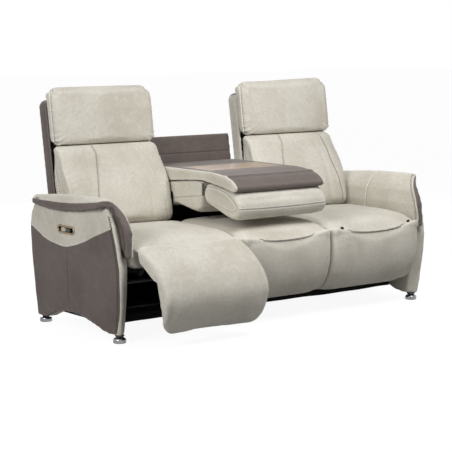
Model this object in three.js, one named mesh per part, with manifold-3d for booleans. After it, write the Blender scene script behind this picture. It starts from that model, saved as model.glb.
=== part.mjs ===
// Three-seat reclining sofa with a middle back that folds down into a console.
// Millimetres, +Z up, +X to the sitter's left seen from the front, +Y to the rear.
// Until the last lines, Y = 0 is the line of the front feet and X = 0 the middle.

import * as THREE from 'three';
import { mergeVertices } from 'three/addons/utils/BufferGeometryUtils.js';
import Module from 'manifold-3d';

const wasm = await Module();
wasm.setup();

// Layout across the sofa
const fitGap = 0.3;
const middleSeatWidth = 564;
const sideSeatWidth = 596;
const seatGap = 7;
const armGap = 15;

// Seat cushions
const seatTop = 473;
const seatBottom = 345;
const seatNose = -76;
const seatSetback = 122;
const seatCrown = 8;

// Footrest hinge, pad and opening
const hingeY = -84;
const hingeZ = 438;
const padTopRadius = 9;
const padBulge = 16;
const padFall = 328;
const padLip = 282;
const padCornerCut = 95;
const padCornerStart = 208;
const restAngle = 60;
const hingePinRadius = 4;
const bracketEndRadius = 6.5;
const hingePinClearance = 0.7;

// Footrest board, ears and brackets
const boardThickness = 7;
const boardSetback = 36.3;
const boardTopDrop = 44;
const boardHeight = 156;
const plateThickness = 5;
const plateGap = 0.6;
const bracketInset = 68;
const pinBehindHinge = 51.5;
const pinBelowHinge = 98;
const linkPinRadius = 3.5;
const linkWidth = 14;

// Drive shaft and gear motors
const driveY = 75;
const driveZ = 268;
const shaftRadius = 12;
const shaftClearance = 1;
const motorLength = 90;
const motorDepth = 76;
const motorCanRadius = 26;
const motorCanLength = 112;

// Seat decks and side frames
const deckBottom = 320;
const deckFront = 5;
const deckSetback = 55;
const sideFrameThickness = 24;
const sideFrameFront = 40;
const sideFrameStep = 232;
const hingeBossRadius = 26;

// Base rails and rear cover
const railFront = 230;
const railSetback = 55;
const railDepth = 25;
const railBottom = 66;
const railHeight = 40;
const coverThickness = 12;
const coverTop = 358;
const coverBottom = 62;

// Side backs, measured along and across their own rake
const backRake = 9.5;
const backHingeSetback = 97;
const backHingeZ = 372;
const shellRearOffset = 57;
const shellDepth = 70;
const shellTop = 732;
const shellBottom = 32;
const shellWall = 10;
const shellCornerRadius = 42;
const shellSideMargin = 2;
const backBoardThickness = 20;
const backCushionTop = 495;
const backCushionBottom = 62;
const backCushionDepth = 158;
const backCushionCrown = 12;
const backTaper = 0.1;
const headrestBottom = 499;
const headrestTop = 786;
const headrestDepth = 53;
const headrestOverhang = 16;
const headrestSideReach = 4;
const headrestHingeLift = 24;
const headrestHingeDepth = 16;
const headrestPinRadius = 6;
const headrestEarWidth = 24;
const lugThickness = 8;
const lugWidth = 46;

// Fold-down console
const consoleGap = 1;
const tableTop = 739;
const tableOverhang = 3;
const tableNose = -36;
const tableDepth = 82;
const consoleWall = 10;
const consolePivotSetback = 200;
const consolePivotDrop = 57;
const consoleBracketThickness = 4.4;
const consoleArmThickness = 6;
const consoleArmInset = 13;
const consoleArmWidth = 40;
const consolePinRadius = 7;
const consoleCushionFront = 234;
const consoleCushionLength = 370;
const consoleCushionRise = 29;
const consoleCushionDepth = 150;
const consoleCrown = 10;
const consoleRestFront = -64;
const consoleRestLength = 292;
const consoleRestRise = 26;
const consoleRestDepth = 162;
const consoleEarRise = 24;
const trayWidth = 470;
const trayFront = 236;
const trayLength = 236;
const trayThickness = 4;
const trayProud = 1;

// Rear panel behind the console
const rearPanelTop = 876;
const rearPanelStep = 716;
const rearPanelThickness = 20;
const rearPanelSetback = 50;
const rearPanelBend = 560;
const rearPanelFoot = 300;
const rearPanelClearance = 6;

// Arms
const armWidth = 78;
const armDepth = 697;
const armFrontDepth = 65;
const armLean = 66;
const armBottom = 38.3;
const armTop = 640;
const armSkin = 20;
const armBevel = 40;
const armCrown = 18;
const armCorner = 24;
const armCutTop = 800;
const armReach = 60;
const wingLayer = 10;
const wingBase = 400;
const wingThickness = 38;
const wingInset = 6;
const wingClearance = 0.6;
const wingWidth = 112;
const wingCrest = 667;

// Control panels
const panelY = 352;
const panelZ = 495;
const bezelLength = 150;
const bezelHeight = 38;
const bezelDepth = 13;
const bezelProud = 3;
const bezelRim = 9;
const buttonLength = 40;
const buttonDepth = 8;
const buttonProud = 2;
const buttonGap = 0.6;

// Feet
const footInset = 30;
const footSetback = 38;
const footRadius = 30.5;
const footHeight = 26;
const footNeckRadius = 19;
const footEdge = 3;

// Places worked out from the sizes above
const consoleWidth = middleSeatWidth - 2 * consoleGap;
const seatInner = middleSeatWidth / 2 + seatGap;
const seatOuter = seatInner + sideSeatWidth;
const seatCentre = (seatInner + seatOuter) / 2;
const armInner = seatOuter + armGap;
const deckTop = seatBottom - fitGap;
const frameTop = deckBottom - fitGap;
const railTop = railBottom + railHeight;
const railRear = armDepth - railSetback;
const backHingeY = armDepth - backHingeSetback;
const seatRear = backHingeY - seatSetback;
const deckRear = backHingeY - deckSetback;
const tableRear = armDepth + tableOverhang;
const tableBottom = tableTop - tableDepth;
const consolePivotY = tableRear - consolePivotSetback;
const consolePivotZ = tableBottom - consolePivotDrop;
const consoleCushionTop = tableBottom + consoleCushionRise;
const consoleRestTop = tableBottom + consoleRestRise;
const rearPanelDepth = tableRear + rearPanelSetback;
const innerFrameX = seatInner - seatGap / 2;
const outerFrameX = seatOuter - sideFrameThickness / 2 + armGap / 3;
const overrun = armReach;
const degrees = Math.PI / 180;

const finishes = {
  creamLeather: { color: 0xcdc7b9, roughness: 0.82, metalness: 0 },
  taupeLeather: { color: 0x655c58, roughness: 0.85, metalness: 0 },
  trayWood: { color: 0xa5917d, roughness: 0.35, metalness: 0 },
  timber: { color: 0xb08d62, roughness: 0.7, metalness: 0 },
  blackBoard: { color: 0x1c1b1a, roughness: 0.7, metalness: 0 },
  blackSteel: { color: 0x1d1d1f, roughness: 0.5, metalness: 0.8 },
  blackPlastic: { color: 0x171717, roughness: 0.55, metalness: 0 },
  silverPlastic: { color: 0xb9bab8, roughness: 0.3, metalness: 0.2 },
  bronze: { color: 0x8a7a5e, roughness: 0.4, metalness: 0.9 },
  chrome: { color: 0xd8d9db, roughness: 0.08, metalness: 1 },
};

// Closed bodies and booleans

function toSolid(geometry) {
  const plain = geometry.clone();
  plain.deleteAttribute('normal');
  plain.deleteAttribute('uv');
  const merged = mergeVertices(plain, fitGap / 1000);
  return new wasm.Manifold(new wasm.Mesh({
    numProp: 3,
    vertProperties: Float32Array.from(merged.attributes.position.array),
    triVerts: Uint32Array.from(merged.index.array),
  }));
}

function toGeometry(solid) {
  const mesh = solid.getMesh();
  const geometry = new THREE.BufferGeometry();
  geometry.setAttribute('position', new THREE.BufferAttribute(mesh.vertProperties, mesh.numProp));
  geometry.setIndex(new THREE.BufferAttribute(mesh.triVerts, 1));
  geometry.computeVertexNormals();
  return geometry;
}

function joined(...geometries) {
  return toGeometry(geometries.map(toSolid).reduce((sum, next) => sum.add(next)));
}

function cut(geometry, ...tools) {
  return toGeometry(tools.map(toSolid).reduce((rest, tool) => rest.subtract(tool), toSolid(geometry)));
}

function common(first, second) {
  return toGeometry(toSolid(first).intersect(toSolid(second)));
}

function flipped(geometry) {
  const index = geometry.index.array;
  for (let i = 0; i < index.length; i += 3) {
    [index[i], index[i + 1]] = [index[i + 1], index[i]];
  }
  return geometry;
}

function signedVolume(geometry) {
  const index = geometry.index.array;
  const corners = [new THREE.Vector3(), new THREE.Vector3(), new THREE.Vector3()];
  let volume = 0;
  for (let i = 0; i < index.length; i += 3) {
    corners.forEach((corner, k) => corner.fromBufferAttribute(geometry.attributes.position, index[i + k]));
    volume += corners[0].dot(corners[1].cross(corners[2]));
  }
  return volume;
}

// Triangles across a ring, cut in the plane that it faces most
function endFaces(ring) {
  const normal = new THREE.Vector3();
  ring.forEach((point, i) => normal.add(point.clone().cross(ring[(i + 1) % ring.length])));
  const sizes = normal.toArray().map(Math.abs);
  const [u, v] = [0, 1, 2].filter((axis) => axis !== sizes.indexOf(Math.max(...sizes)));
  const contour = ring.map((point) => new THREE.Vector2(point.getComponent(u), point.getComponent(v)));
  return THREE.ShapeUtils.triangulateShape(contour, []).map((face) => face.toSorted((a, b) => a - b));
}

// A closed body through rings of points
function loft(rings) {
  const count = rings[0].length;
  const points = rings.flat();
  const faces = [];
  for (let ring = 0; ring + 1 < rings.length; ring += 1) {
    for (let i = 0; i < count; i += 1) {
      const a = ring * count + i;
      const b = ring * count + (i + 1) % count;
      faces.push(a, b, b + count, a, b + count, a + count);
    }
  }
  const last = (rings.length - 1) * count;
  endFaces(rings[0]).forEach(([a, b, c]) => faces.push(c, b, a));
  endFaces(rings[rings.length - 1]).forEach(([a, b, c]) => faces.push(last + a, last + b, last + c));
  const geometry = new THREE.BufferGeometry().setFromPoints(points);
  geometry.setIndex(faces);
  if (signedVolume(geometry) < 0) flipped(geometry);
  geometry.computeVertexNormals();
  return geometry;
}

function mirrored(geometry) {
  const copy = geometry.index ? geometry.clone() : mergeVertices(geometry);
  copy.scale(-1, 1, 1);
  flipped(copy);
  copy.computeVertexNormals();
  return copy;
}

// A straight-sided body: an outline of [Y, Z] points run along X
function prismX(outline, low, high) {
  const shape = new THREE.Shape(outline.map(([y, z]) => new THREE.Vector2(y, z)));
  const body = new THREE.ExtrudeGeometry(shape, { depth: high - low, bevelEnabled: false });
  const turn = new THREE.Matrix4().set(0, 0, 1, low, 1, 0, 0, 0, 0, 1, 0, 0, 0, 0, 0, 1);
  return body.applyMatrix4(turn);
}

// The same for a THREE.Shape in X and Z, run along Y
function prismY(shape, low, high) {
  const body = new THREE.ExtrudeGeometry(shape, { depth: high - low, bevelEnabled: false, curveSegments: 3 });
  return body.rotateX(Math.PI / 2).translate(0, high, 0);
}

function box(low, high) {
  const size = high.map((value, axis) => value - low[axis]);
  const body = new THREE.BoxGeometry(...size);
  return body.translate(...low.map((value, axis) => value + size[axis] / 2));
}

function barX(radius, low, high, y, z, sides = 10) {
  const body = new THREE.CylinderGeometry(radius, radius, high - low, sides);
  return body.rotateZ(Math.PI / 2).translate((low + high) / 2, y, z);
}

function barY(radius, low, high, x, z, sides = 10) {
  return new THREE.CylinderGeometry(radius, radius, high - low, sides).translate(x, (low + high) / 2, z);
}

function roundedShape(left, bottom, right, top, lowRadius, highRadius) {
  const shape = new THREE.Shape();
  shape.moveTo(left + lowRadius, bottom);
  shape.lineTo(right - lowRadius, bottom);
  shape.absarc(right - lowRadius, bottom + lowRadius, lowRadius, -Math.PI / 2, 0);
  shape.lineTo(right, top - highRadius);
  shape.absarc(right - highRadius, top - highRadius, highRadius, 0, Math.PI / 2);
  shape.lineTo(left + highRadius, top);
  shape.absarc(left + highRadius, top - highRadius, highRadius, Math.PI / 2, Math.PI);
  shape.lineTo(left, bottom + lowRadius);
  shape.absarc(left + lowRadius, bottom + lowRadius, lowRadius, Math.PI, Math.PI * 1.5);
  return shape;
}

// Points from a table of shares: a corner, the two sizes and the table
function fromShares(shares, [y, z], [length, height]) {
  return shares.map(([along, up]) => [y + along * length, z + up * height]);
}

// Places across a pad: close together at its drawn-in ends, even between them
const endShares = [0, 0.3, 1];
const bodyShares = [0.25, 0.5, 0.75];

// A stuffed pad: an outline run along X, drawn in at both ends, then bent by a rule
function stuffedPad({ outline, low, high, round, draw, places = bodyShares, bend = (point) => point }) {
  const ys = outline.map(([y]) => y);
  const zs = outline.map(([, z]) => z);
  const middle = [(Math.min(...ys) + Math.max(...ys)) / 2, (Math.min(...zs) + Math.max(...zs)) / 2];
  const half = [Math.max(...ys) - middle[0], Math.max(...zs) - middle[1]];
  const span = high - low;
  const stations = [
    ...endShares.map((share) => share * round),
    ...places.map((share) => round + share * (span - 2 * round)),
    ...endShares.toReversed().map((share) => span - share * round),
  ];
  return loft(stations.map((station) => {
    const edge = Math.min(station, span - station, round) / round;
    const inset = draw * (1 - Math.sqrt(1 - (1 - edge) ** 2));
    return outline.map(([y, z]) => bend(new THREE.Vector3(
      low + station,
      middle[0] + (y - middle[0]) * (1 - inset / half[0]),
      middle[1] + (z - middle[1]) * (1 - inset / half[1]),
    )));
  }));
}

function crowned(low, high, bottom, top, crown) {
  return (point) => {
    const across = (2 * point.x - low - high) / (high - low);
    const lift = THREE.MathUtils.clamp((point.z - bottom) / (top - bottom), 0, 1);
    point.z += crown * lift * (1 - across ** 2);
    return point;
  };
}

// Mesh and placing helpers

const sofa = new THREE.Group();

function mesh(name, geometry, finish) {
  const part = new THREE.Mesh(geometry, new THREE.MeshStandardMaterial(finishes[finish]));
  part.name = name;
  return part;
}

const sides = [
  { label: 'left', place: mirrored, sign: -1, opening: restAngle },
  { label: 'right', place: (geometry) => geometry, sign: 1, opening: 0 },
];

// Seats

const seatShares = [
  [0.986, 0.04], [1, 0.5], [0.982, 0.86], [0.93, 0.97], [0.82, 0.995], [0.7, 1], [0.588, 1], [0.46, 1],
  [0.329, 0.985], [0.24, 0.96], [0.168, 0.93], [0.105, 0.885], [0.058, 0.84], [0.02, 0.805], [0, 0.79],
  [0.008, 0.765], [0.065, 0.735], [0.088, 0.62], [0.094, 0.27], [0.097, 0.05], [0.123, 0], [0.55, 0],
  [0.958, 0],
];

function seatCushion(low, high) {
  return stuffedPad({
    outline: fromShares(seatShares, [seatNose, seatBottom], [seatRear - seatNose, seatTop - seatBottom]),
    low,
    high,
    round: armGap * 2,
    draw: armGap,
    bend: crowned(low, high, seatBottom, seatTop, seatCrown),
  });
}

function deck(low, high) {
  return box([low, deckFront, deckBottom], [high, deckRear, deckTop]);
}

// Footrest pad outline, closed: shares of the bulge ahead of the hinge or the lip behind it, and of the fall
const padFrontShares = [[0.56, 0.11], [1, 0.284], [0.81, 0.497], [-0.25, 0.71]];
const padLipShares = [
  [0.12, 0.863], [0.19, 0.92], [0.28, 0.963], [0.51, 1], [0.688, 0.988], [0.876, 0.924], [0.985, 0.855],
  [1, 0.823], [0.972, 0.793], [0.865, 0.832], [0.688, 0.884], [0.46, 0.878], [0.316, 0.8], [0.227, 0.716],
];
const padBackShares = [[1, 0.62], [1, 0.35], [1, 0.075], [0.75, 0.03]];

function footrestOutline() {
  const arc = (turn) => [hingeY + padTopRadius * Math.cos(turn), hingeZ + padTopRadius * Math.sin(turn)];
  return [
    arc(Math.PI / 2), arc(Math.PI * 0.75), arc(Math.PI),
    ...padFrontShares.map(([out, down]) => [hingeY - out * padBulge, hingeZ - down * padFall]),
    ...padLipShares.map(([back, down]) => [hingeY + back * padLip, hingeZ - down * padFall]),
    ...padBackShares.map(([back, down]) => [hingeY + back * boardSetback, hingeZ - down * padFall]),
    arc(Math.PI / 6),
  ];
}

// The end next to an arm is cut back in a curve along the lip, so that it clears the arm's foot
function footrestPad(low, high, cornerCut) {
  const centre = (low + high) / 2;
  return stuffedPad({
    outline: footrestOutline(),
    low,
    high,
    round: armGap * 2,
    draw: armGap,
    places: [0.5],
    bend: (point) => {
      const back = Math.max(point.y - hingeY - padLip + padCornerStart, 0) / padCornerStart;
      const out = Math.max(point.x - centre, 0) / (high - centre);
      point.x -= cornerCut * out * back ** 2;
      return point;
    },
  });
}

function boardPlate(low, high) {
  const front = hingeY + boardSetback + fitGap;
  const top = hingeZ - boardTopDrop;
  return box([low, front, top - boardHeight], [high, front + boardThickness, top]);
}

// Bracket plates stand under the deck's front edge and carry the footrest's hinge pins
const bracketShares = [
  [0.6, -0.73], [0.63, -0.83], [1.01, -0.83], [1.5, -0.99], [1.5, -1.14], [0.81, -1.14], [0.337, -0.746],
];
const bracketEndShares = [1.18, 0.84, 0.51, 0.18];

function bracketPlate(centre) {
  const reach = deckFront - hingeY;
  const rise = hingeZ - deckBottom;
  const outline = [
    ...bracketShares.map(([back, up]) => [hingeY + back * reach, hingeZ + up * rise]),
    ...bracketEndShares.map((share) => [
      hingeY + bracketEndRadius * Math.cos(share * Math.PI),
      hingeZ + bracketEndRadius * Math.sin(share * Math.PI)]),
  ];
  return prismX(outline, centre - plateThickness / 2, centre + plateThickness / 2);
}

function bracketPlaces(low, high) {
  return [low + bracketInset, high - bracketInset];
}

function pinnedDeck(low, high) {
  const plates = bracketPlaces(low, high).map(bracketPlate);
  const pins = bracketPlaces(low, high).map((x) => barX(
    hingePinRadius, x - plateThickness / 2 - 2 * plateGap, x + 2 * plateThickness, hingeY, hingeZ));
  return joined(deck(low, high), ...plates, ...pins);
}

const earShares = [
  [-0.136, 0], [-0.1, 0.05], [0, 0.072], [0.1, 0.05], [0.136, 0], [0.58, -0.46], [1.135, -0.9], [1.135, -1],
  [1.08, -1.055], [1, -1.072], [0.9, -1.055], [0.66, -0.97], [0.66, -0.6], [-0.12, -0.06],
];

// Ears on the footrest board turn on the hinge pins and carry the link pins
function ears(low, high) {
  return bracketPlaces(low, high).map((x) => {
    const start = x + plateThickness / 2 + plateGap;
    const outline = earShares.map(([back, up]) => [
      hingeY + back * pinBehindHinge, hingeZ + up * pinBelowHinge]);
    const plate = prismX(outline, start, start + plateThickness);
    const bore = barX(hingePinRadius + hingePinClearance, start - overrun, start + overrun, hingeY, hingeZ);
    const pin = barX(linkPinRadius, start, start + 2 * plateThickness + 2 * plateGap,
      hingeY + pinBehindHinge, hingeZ - pinBelowHinge);
    return joined(cut(plate, bore), pin);
  });
}

const slotReachShare = 1.12;

function footrestBoard(low, high) {
  const slots = bracketPlaces(low, high).map((x) => box(
    [x - plateThickness / 2 - plateGap, hingeY, hingeZ - pinBelowHinge * slotReachShare],
    [x + plateThickness / 2 + plateGap, hingeY + overrun, hingeZ]));
  const board = cut(boardPlate(low + bracketInset / 2, high - bracketInset / 2), ...slots);
  return joined(board, ...ears(low, high));
}

function slottedPad(low, high) {
  const slots = bracketPlaces(low, high).map((x) => box(
    [x - plateThickness, hingeY - bracketEndRadius - plateGap, hingeZ - pinBelowHinge * slotReachShare],
    [x + 2 * plateThickness + 3 * plateGap, hingeY + overrun, hingeZ + overrun]));
  return cut(footrestPad(low, high, padCornerCut), ...slots);
}

// Drive shaft, its cranks and the links that turn the footrest as a parallelogram
const crankWidthShare = 1.3;

function crankStart(x) {
  return x + plateThickness / 2 + 2 * plateGap + plateThickness;
}

function rodOutline(from, to, width) {
  const along = new THREE.Vector2(to[0] - from[0], to[1] - from[1]);
  const heading = along.angle();
  const steps = [-2, -1, 0, 1, 2].map((step) => step * Math.PI / 4);
  const end = ([y, z], facing) => steps.map((step) => [
    y + width / 2 * Math.cos(facing + step), z + width / 2 * Math.sin(facing + step)]);
  return [...end(to, heading), ...end(from, heading + Math.PI)];
}

const crankPin = [driveY + pinBehindHinge, driveZ - pinBelowHinge];
const footrestPin = [hingeY + pinBehindHinge, hingeZ - pinBelowHinge];

function driveShaft(low, high) {
  const linkEnd = crankStart(bracketPlaces(low, high)[0]) + plateThickness;
  const crank = prismX(rodOutline([driveY, driveZ], crankPin, linkWidth * crankWidthShare),
    linkEnd + plateGap, linkEnd + plateGap + plateThickness);
  const pin = barX(linkPinRadius, linkEnd - plateThickness - plateGap, linkEnd + 2 * plateGap, ...crankPin);
  const start = innerFrameX - sideFrameThickness / 2;
  const end = outerFrameX + sideFrameThickness / 2;
  return joined(barX(shaftRadius, start, end, driveY, driveZ), crank, pin);
}

function driveLink(low, high) {
  const start = crankStart(bracketPlaces(low, high)[0]);
  const rod = prismX(rodOutline(crankPin, footrestPin, linkWidth), start, start + plateThickness);
  const bores = [crankPin, footrestPin].map((pin) => barX(
    linkPinRadius + hingePinClearance, start - overrun, start + overrun, ...pin));
  return cut(rod, ...bores);
}

function gearMotor(y, z, top) {
  const low = seatCentre - motorLength / 2;
  const high = seatCentre + motorLength / 2;
  const half = motorDepth / 2;
  const bottom = top - motorDepth;
  const housing = box([low, y - half, bottom], [high, y + half, top]);
  const canZ = top - motorCanRadius;
  const can = barY(motorCanRadius, y, y + half + motorCanLength, seatCentre, canZ);
  const bore = barX(shaftRadius + shaftClearance, low - overrun, high + overrun, y, z);
  return cut(joined(housing, can), bore);
}

function backMotor() {
  const low = seatCentre - motorLength / 2;
  const high = seatCentre + motorLength / 2;
  const half = hingeBossRadius;
  const barrel = barX(half, low, high, backHingeY, backHingeZ);
  const housing = box([low, backHingeY - half, frameTop - motorDepth], [high, backHingeY + half, backHingeZ]);
  const canZ = frameTop - motorCanRadius;
  const can = barY(motorCanRadius, backHingeY - half - motorCanLength, backHingeY, seatCentre, canZ);
  const bore = barX(shaftRadius + shaftClearance, low - overrun, high + overrun, backHingeY, backHingeZ);
  return cut(joined(barrel, housing, can), bore);
}

// Side frames carry the decks, the drive shaft and the back hinge
function sideFrame(centre) {
  const arcSteps = [0, 1, 2, 3, 4, 5, 6].map((step) => step * Math.PI / 6);
  const boss = arcSteps.map((turn) => [
    backHingeY + hingeBossRadius * Math.cos(turn), backHingeZ + hingeBossRadius * Math.sin(turn)]);
  const outline = [
    [railFront, railTop + fitGap], [railRear + railDepth, railTop + fitGap], [railRear + railDepth, frameTop],
    ...boss,
    [backHingeY - 2 * hingeBossRadius, frameTop], [sideFrameFront, frameTop],
    [sideFrameFront, sideFrameStep], [railFront, sideFrameStep - hingeBossRadius],
  ];
  const low = centre - sideFrameThickness / 2;
  const high = centre + sideFrameThickness / 2;
  const bores = [[driveY, driveZ], [backHingeY, backHingeZ]].map(([y, z]) => barX(
    shaftRadius + shaftClearance, low - overrun, high + overrun, y, z));
  return cut(prismX(outline, low, high), ...bores);
}

function rail(y) {
  const reach = armInner - fitGap;
  return box([-reach, y, railBottom], [reach, y + railDepth, railTop]);
}

function rearCover() {
  const reach = armInner - fitGap;
  const front = railRear + railDepth + fitGap;
  return box([-reach, front, coverBottom], [reach, front + coverThickness, coverTop]);
}

// Side backs, built upright about their hinge and then leaned back

const backCushionShares = [
  [0.12, 0.05], [0, 0.11], [0, 0.22], [0.04, 0.36], [0.14, 0.5], [0.28, 0.64], [0.42, 0.76], [0.56, 0.87],
  [0.68, 0.95], [0.8, 0.99], [0.93, 1], [1, 0.985], [1, 0.5], [1, 0.04], [0.93, 0], [0.45, 0.005],
];
const headrestShares = [
  [1, 0.1], [0.83, 0.006], [0.74, 0], [0.3, 0.005], [0.1, 0.04], [0.02, 0.25], [0, 0.6], [0.08, 0.88],
  [0.3, 0.975],
];
const headrestCrownShares = [[0.2, 1], [0.65, 0.985], [0.95, 0.94], [1, 0.88], [0.85, 0.85]];
const shellFront = shellRearOffset - shellDepth;
const padRear = shellFront - fitGap;

function backShell() {
  const low = seatInner + shellSideMargin / 2;
  const high = seatOuter + shellSideMargin;
  const body = prismY(roundedShape(low, shellBottom, high, shellTop, shellWall, shellCornerRadius),
    shellFront, shellRearOffset);
  const hollow = prismY(
    roundedShape(low + shellWall, shellBottom - overrun, high - shellWall, shellTop - shellWall,
      shellWall, shellCornerRadius - shellWall),
    shellFront - overrun,
    shellRearOffset - shellWall,
  );
  return cut(body, hollow);
}

const headrestHinge = [padRear - headrestHingeDepth, headrestBottom + headrestHingeLift];
const earReachShare = 2.6;

// Ears with a cross pin: each runs from its low point to its high point about the hinge
function pinnedEars(places, [y, z], [rear, top]) {
  const half = headrestPinRadius * 2;
  return places.map((x) => {
    const ear = box([x - headrestEarWidth / 2, y - half / 2, z - half],
      [x + headrestEarWidth / 2, rear, top]);
    const pin = barX(headrestPinRadius, x - headrestEarWidth, x + headrestEarWidth, y, z);
    return joined(ear, pin);
  });
}

// Room for one such ear and its pin in a pad, open to the given low and high points
function earTools(places, [y, z], [bottom, top]) {
  const reach = headrestPinRadius * earReachShare;
  return places.flatMap((x) => [
    box([x - headrestEarWidth / 2 - plateGap, y - reach, bottom],
      [x + headrestEarWidth / 2 + plateGap, y + overrun, top]),
    barX(headrestPinRadius + hingePinClearance, x - headrestEarWidth - plateGap,
      x + headrestEarWidth + plateGap, y, z),
  ]);
}

function headrestEars() {
  const top = headrestHinge[1] + headrestPinRadius * 2;
  return pinnedEars(bracketPlaces(seatInner, seatOuter), headrestHinge,
    [shellFront + backBoardThickness / 2, top]);
}

function backFrame() {
  const wall = shellWall + shellSideMargin;
  const board = prismY(
    roundedShape(seatInner + wall, shellBottom, seatOuter - wall, shellTop - shellWall - fitGap * 2,
      shellWall, shellCornerRadius - shellWall / 2),
    shellFront,
    shellFront + backBoardThickness,
  );
  const lugs = [innerFrameX + sideFrameThickness, outerFrameX - sideFrameThickness].map((x) => prismX(
    [[-lugWidth / 2, 0], [0, -lugWidth / 2], [lugWidth / 2, 0], [lugWidth / 2, shellBottom + lugWidth],
      [shellFront, shellBottom + lugWidth], [shellFront, shellBottom]],
    x - lugThickness / 2, x + lugThickness / 2));
  const shaft = barX(
    shaftRadius, innerFrameX - sideFrameThickness / 2, outerFrameX + sideFrameThickness / 2, 0, 0);
  return joined(board, ...lugs, shaft, ...headrestEars());
}

function backCushion() {
  const height = backCushionTop - backCushionBottom;
  const outline = fromShares(backCushionShares, [padRear - backCushionDepth, backCushionBottom],
    [backCushionDepth, height]);
  return stuffedPad({
    outline,
    low: seatInner + shellSideMargin / 2,
    high: seatOuter,
    round: armGap * 2.4,
    draw: armGap * 1.2,
    places: [0.06, 0.16, 0.2, 0.24, 0.5, 0.76, 0.8, 0.84, 0.94],
    bend: (point) => {
      const rise = THREE.MathUtils.clamp((point.z - backCushionBottom) / height, 0, 1);
      const taper = 1 - backTaper * THREE.MathUtils.smoothstep(rise, 0.5, 1);
      const across = (point.x - seatCentre) / (sideSeatWidth / 2);
      const ahead = THREE.MathUtils.clamp((padRear - point.y) / backCushionDepth, 0, 1);
      const seam = Math.exp(-(((Math.abs(across) - 0.53) / 0.035) ** 2));
      point.y -= ahead * (backCushionCrown * (1 - across ** 2) - seam * backCushionCrown / 2);
      point.x = seatCentre + (point.x - seatCentre) * taper;
      return point;
    },
  });
}

function headrest() {
  const depth = [headrestDepth, headrestTop - headrestBottom];
  const outline = [
    ...fromShares(headrestShares, [padRear - headrestDepth, headrestBottom], depth),
    ...fromShares(headrestCrownShares, [padRear - headrestDepth / 2, headrestBottom],
      [headrestDepth / 2 + headrestOverhang, headrestTop - headrestBottom]),
    [padRear, headrestBottom + 0.84 * depth[1]],
  ];
  const pad = stuffedPad({
    outline,
    low: seatInner - headrestSideReach,
    high: seatOuter + headrestSideReach,
    round: armGap * 2,
    draw: armGap,
    bend: (point) => {
      const across = (point.x - seatCentre) / (sideSeatWidth / 2);
      const ahead = THREE.MathUtils.clamp((padRear - point.y) / headrestDepth, 0, 1);
      point.y -= ahead * backCushionCrown / 2 * (1 - across ** 2);
      return point;
    },
  });
  const ends = [headrestHinge[1] - overrun, headrestHinge[1] + headrestPinRadius * earReachShare];
  return cut(pad, ...earTools(bracketPlaces(seatInner, seatOuter), headrestHinge, ends));
}

// Console, built folded down; its headrest turns on pins under the front of the frame

const consoleHingeShares = [0.92, 0.9];
const consoleRestHinge = [
  consoleRestFront + consoleHingeShares[0] * consoleRestLength,
  consoleRestTop - consoleRestDepth + consoleHingeShares[1] * consoleRestDepth,
];

const tableLowShares = [
  [0.035, 0], [0.11, 0.12], [0.22, 0.26], [0.325, 0.39], [0.37, 0.44], [0.5, 0.38], [0.73, 0.18],
  [0.86, 0.13], [0.985, 0.18],
];
const tableHighShares = [
  [1, 0.4], [1, 0.96], [0.995, 1], [0.6, 1], [0.27, 1], [0.185, 0.94], [0.115, 0.83], [0.06, 0.66],
  [0.03, 0.49], [0.01, 0.33], [0, 0.18], [0.01, 0.06],
];
const tableCorner = [tableNose, tableBottom];
const tableSize = [tableRear - tableNose, tableDepth];
const tableUnder = fromShares(tableLowShares, tableCorner, tableSize);
const tableOver = fromShares(tableHighShares, tableCorner, tableSize);

function tray(extra) {
  const shape = roundedShape(-trayWidth / 2 - extra, -trayFront - trayLength - extra,
    trayWidth / 2 + extra, -trayFront + extra, shellWall, shellWall);
  const depth = trayThickness + 2 * extra;
  const body = new THREE.ExtrudeGeometry(shape, { depth, bevelEnabled: false, curveSegments: 3 });
  return body.scale(1, -1, -1).translate(0, 0, tableTop + trayProud + extra);
}

function consoleShell() {
  const half = consoleWidth / 2;
  const body = stuffedPad({
    outline: [...tableUnder, ...tableOver],
    low: -half,
    high: half,
    round: shellWall,
    draw: shellWall / 2,
    places: [0.5],
  });
  const inner = half - consoleWall;
  const hollow = box([-inner, tableNose + tableDepth, tableBottom - overrun],
    [inner, tableRear - consoleWall, tableTop - consoleWall]);
  return cut(body, hollow, tray(fitGap));
}

function consoleFrame() {
  const inner = consoleWidth / 2 - consoleWall - fitGap;
  const under = tableUnder.slice(1, -1);
  const front = tableNose + tableDepth + fitGap;
  const rear = tableRear - consoleWall - fitGap;
  const ceiling = tableTop - consoleWall - fitGap;
  const outline = [
    [front, under[0][1]],
    ...under.filter(([y]) => y > front && y < rear),
    [rear, under[under.length - 1][1]],
    [rear, ceiling],
    [front, ceiling],
  ];
  const armX = consoleWidth / 2 - consoleArmInset - consoleArmThickness;
  const pivot = [consolePivotY, consolePivotZ];
  const arms = [-1, 1].map((sign) => {
    const ends = [sign * armX, sign * (armX + consoleArmThickness)].sort((a, b) => a - b);
    const head = [consolePivotY, tableTop - consoleWall * 2 - consoleArmWidth / 2];
    const arm = prismX(rodOutline(pivot, head, consoleArmWidth), ...ends);
    const bore = barX(
      consolePinRadius + hingePinClearance, ends[0] - overrun, ends[1] + overrun, ...pivot);
    return cut(arm, bore);
  });
  const [hingeDeep, hingeHigh] = consoleRestHinge;
  const restEars = pinnedEars(bracketPlaces(-consoleWidth / 2, consoleWidth / 2), consoleRestHinge,
    [hingeDeep + headrestPinRadius, hingeHigh + headrestPinRadius + consoleEarRise]);
  return joined(prismX(outline, -inner, inner), ...arms, ...restEars);
}

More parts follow.
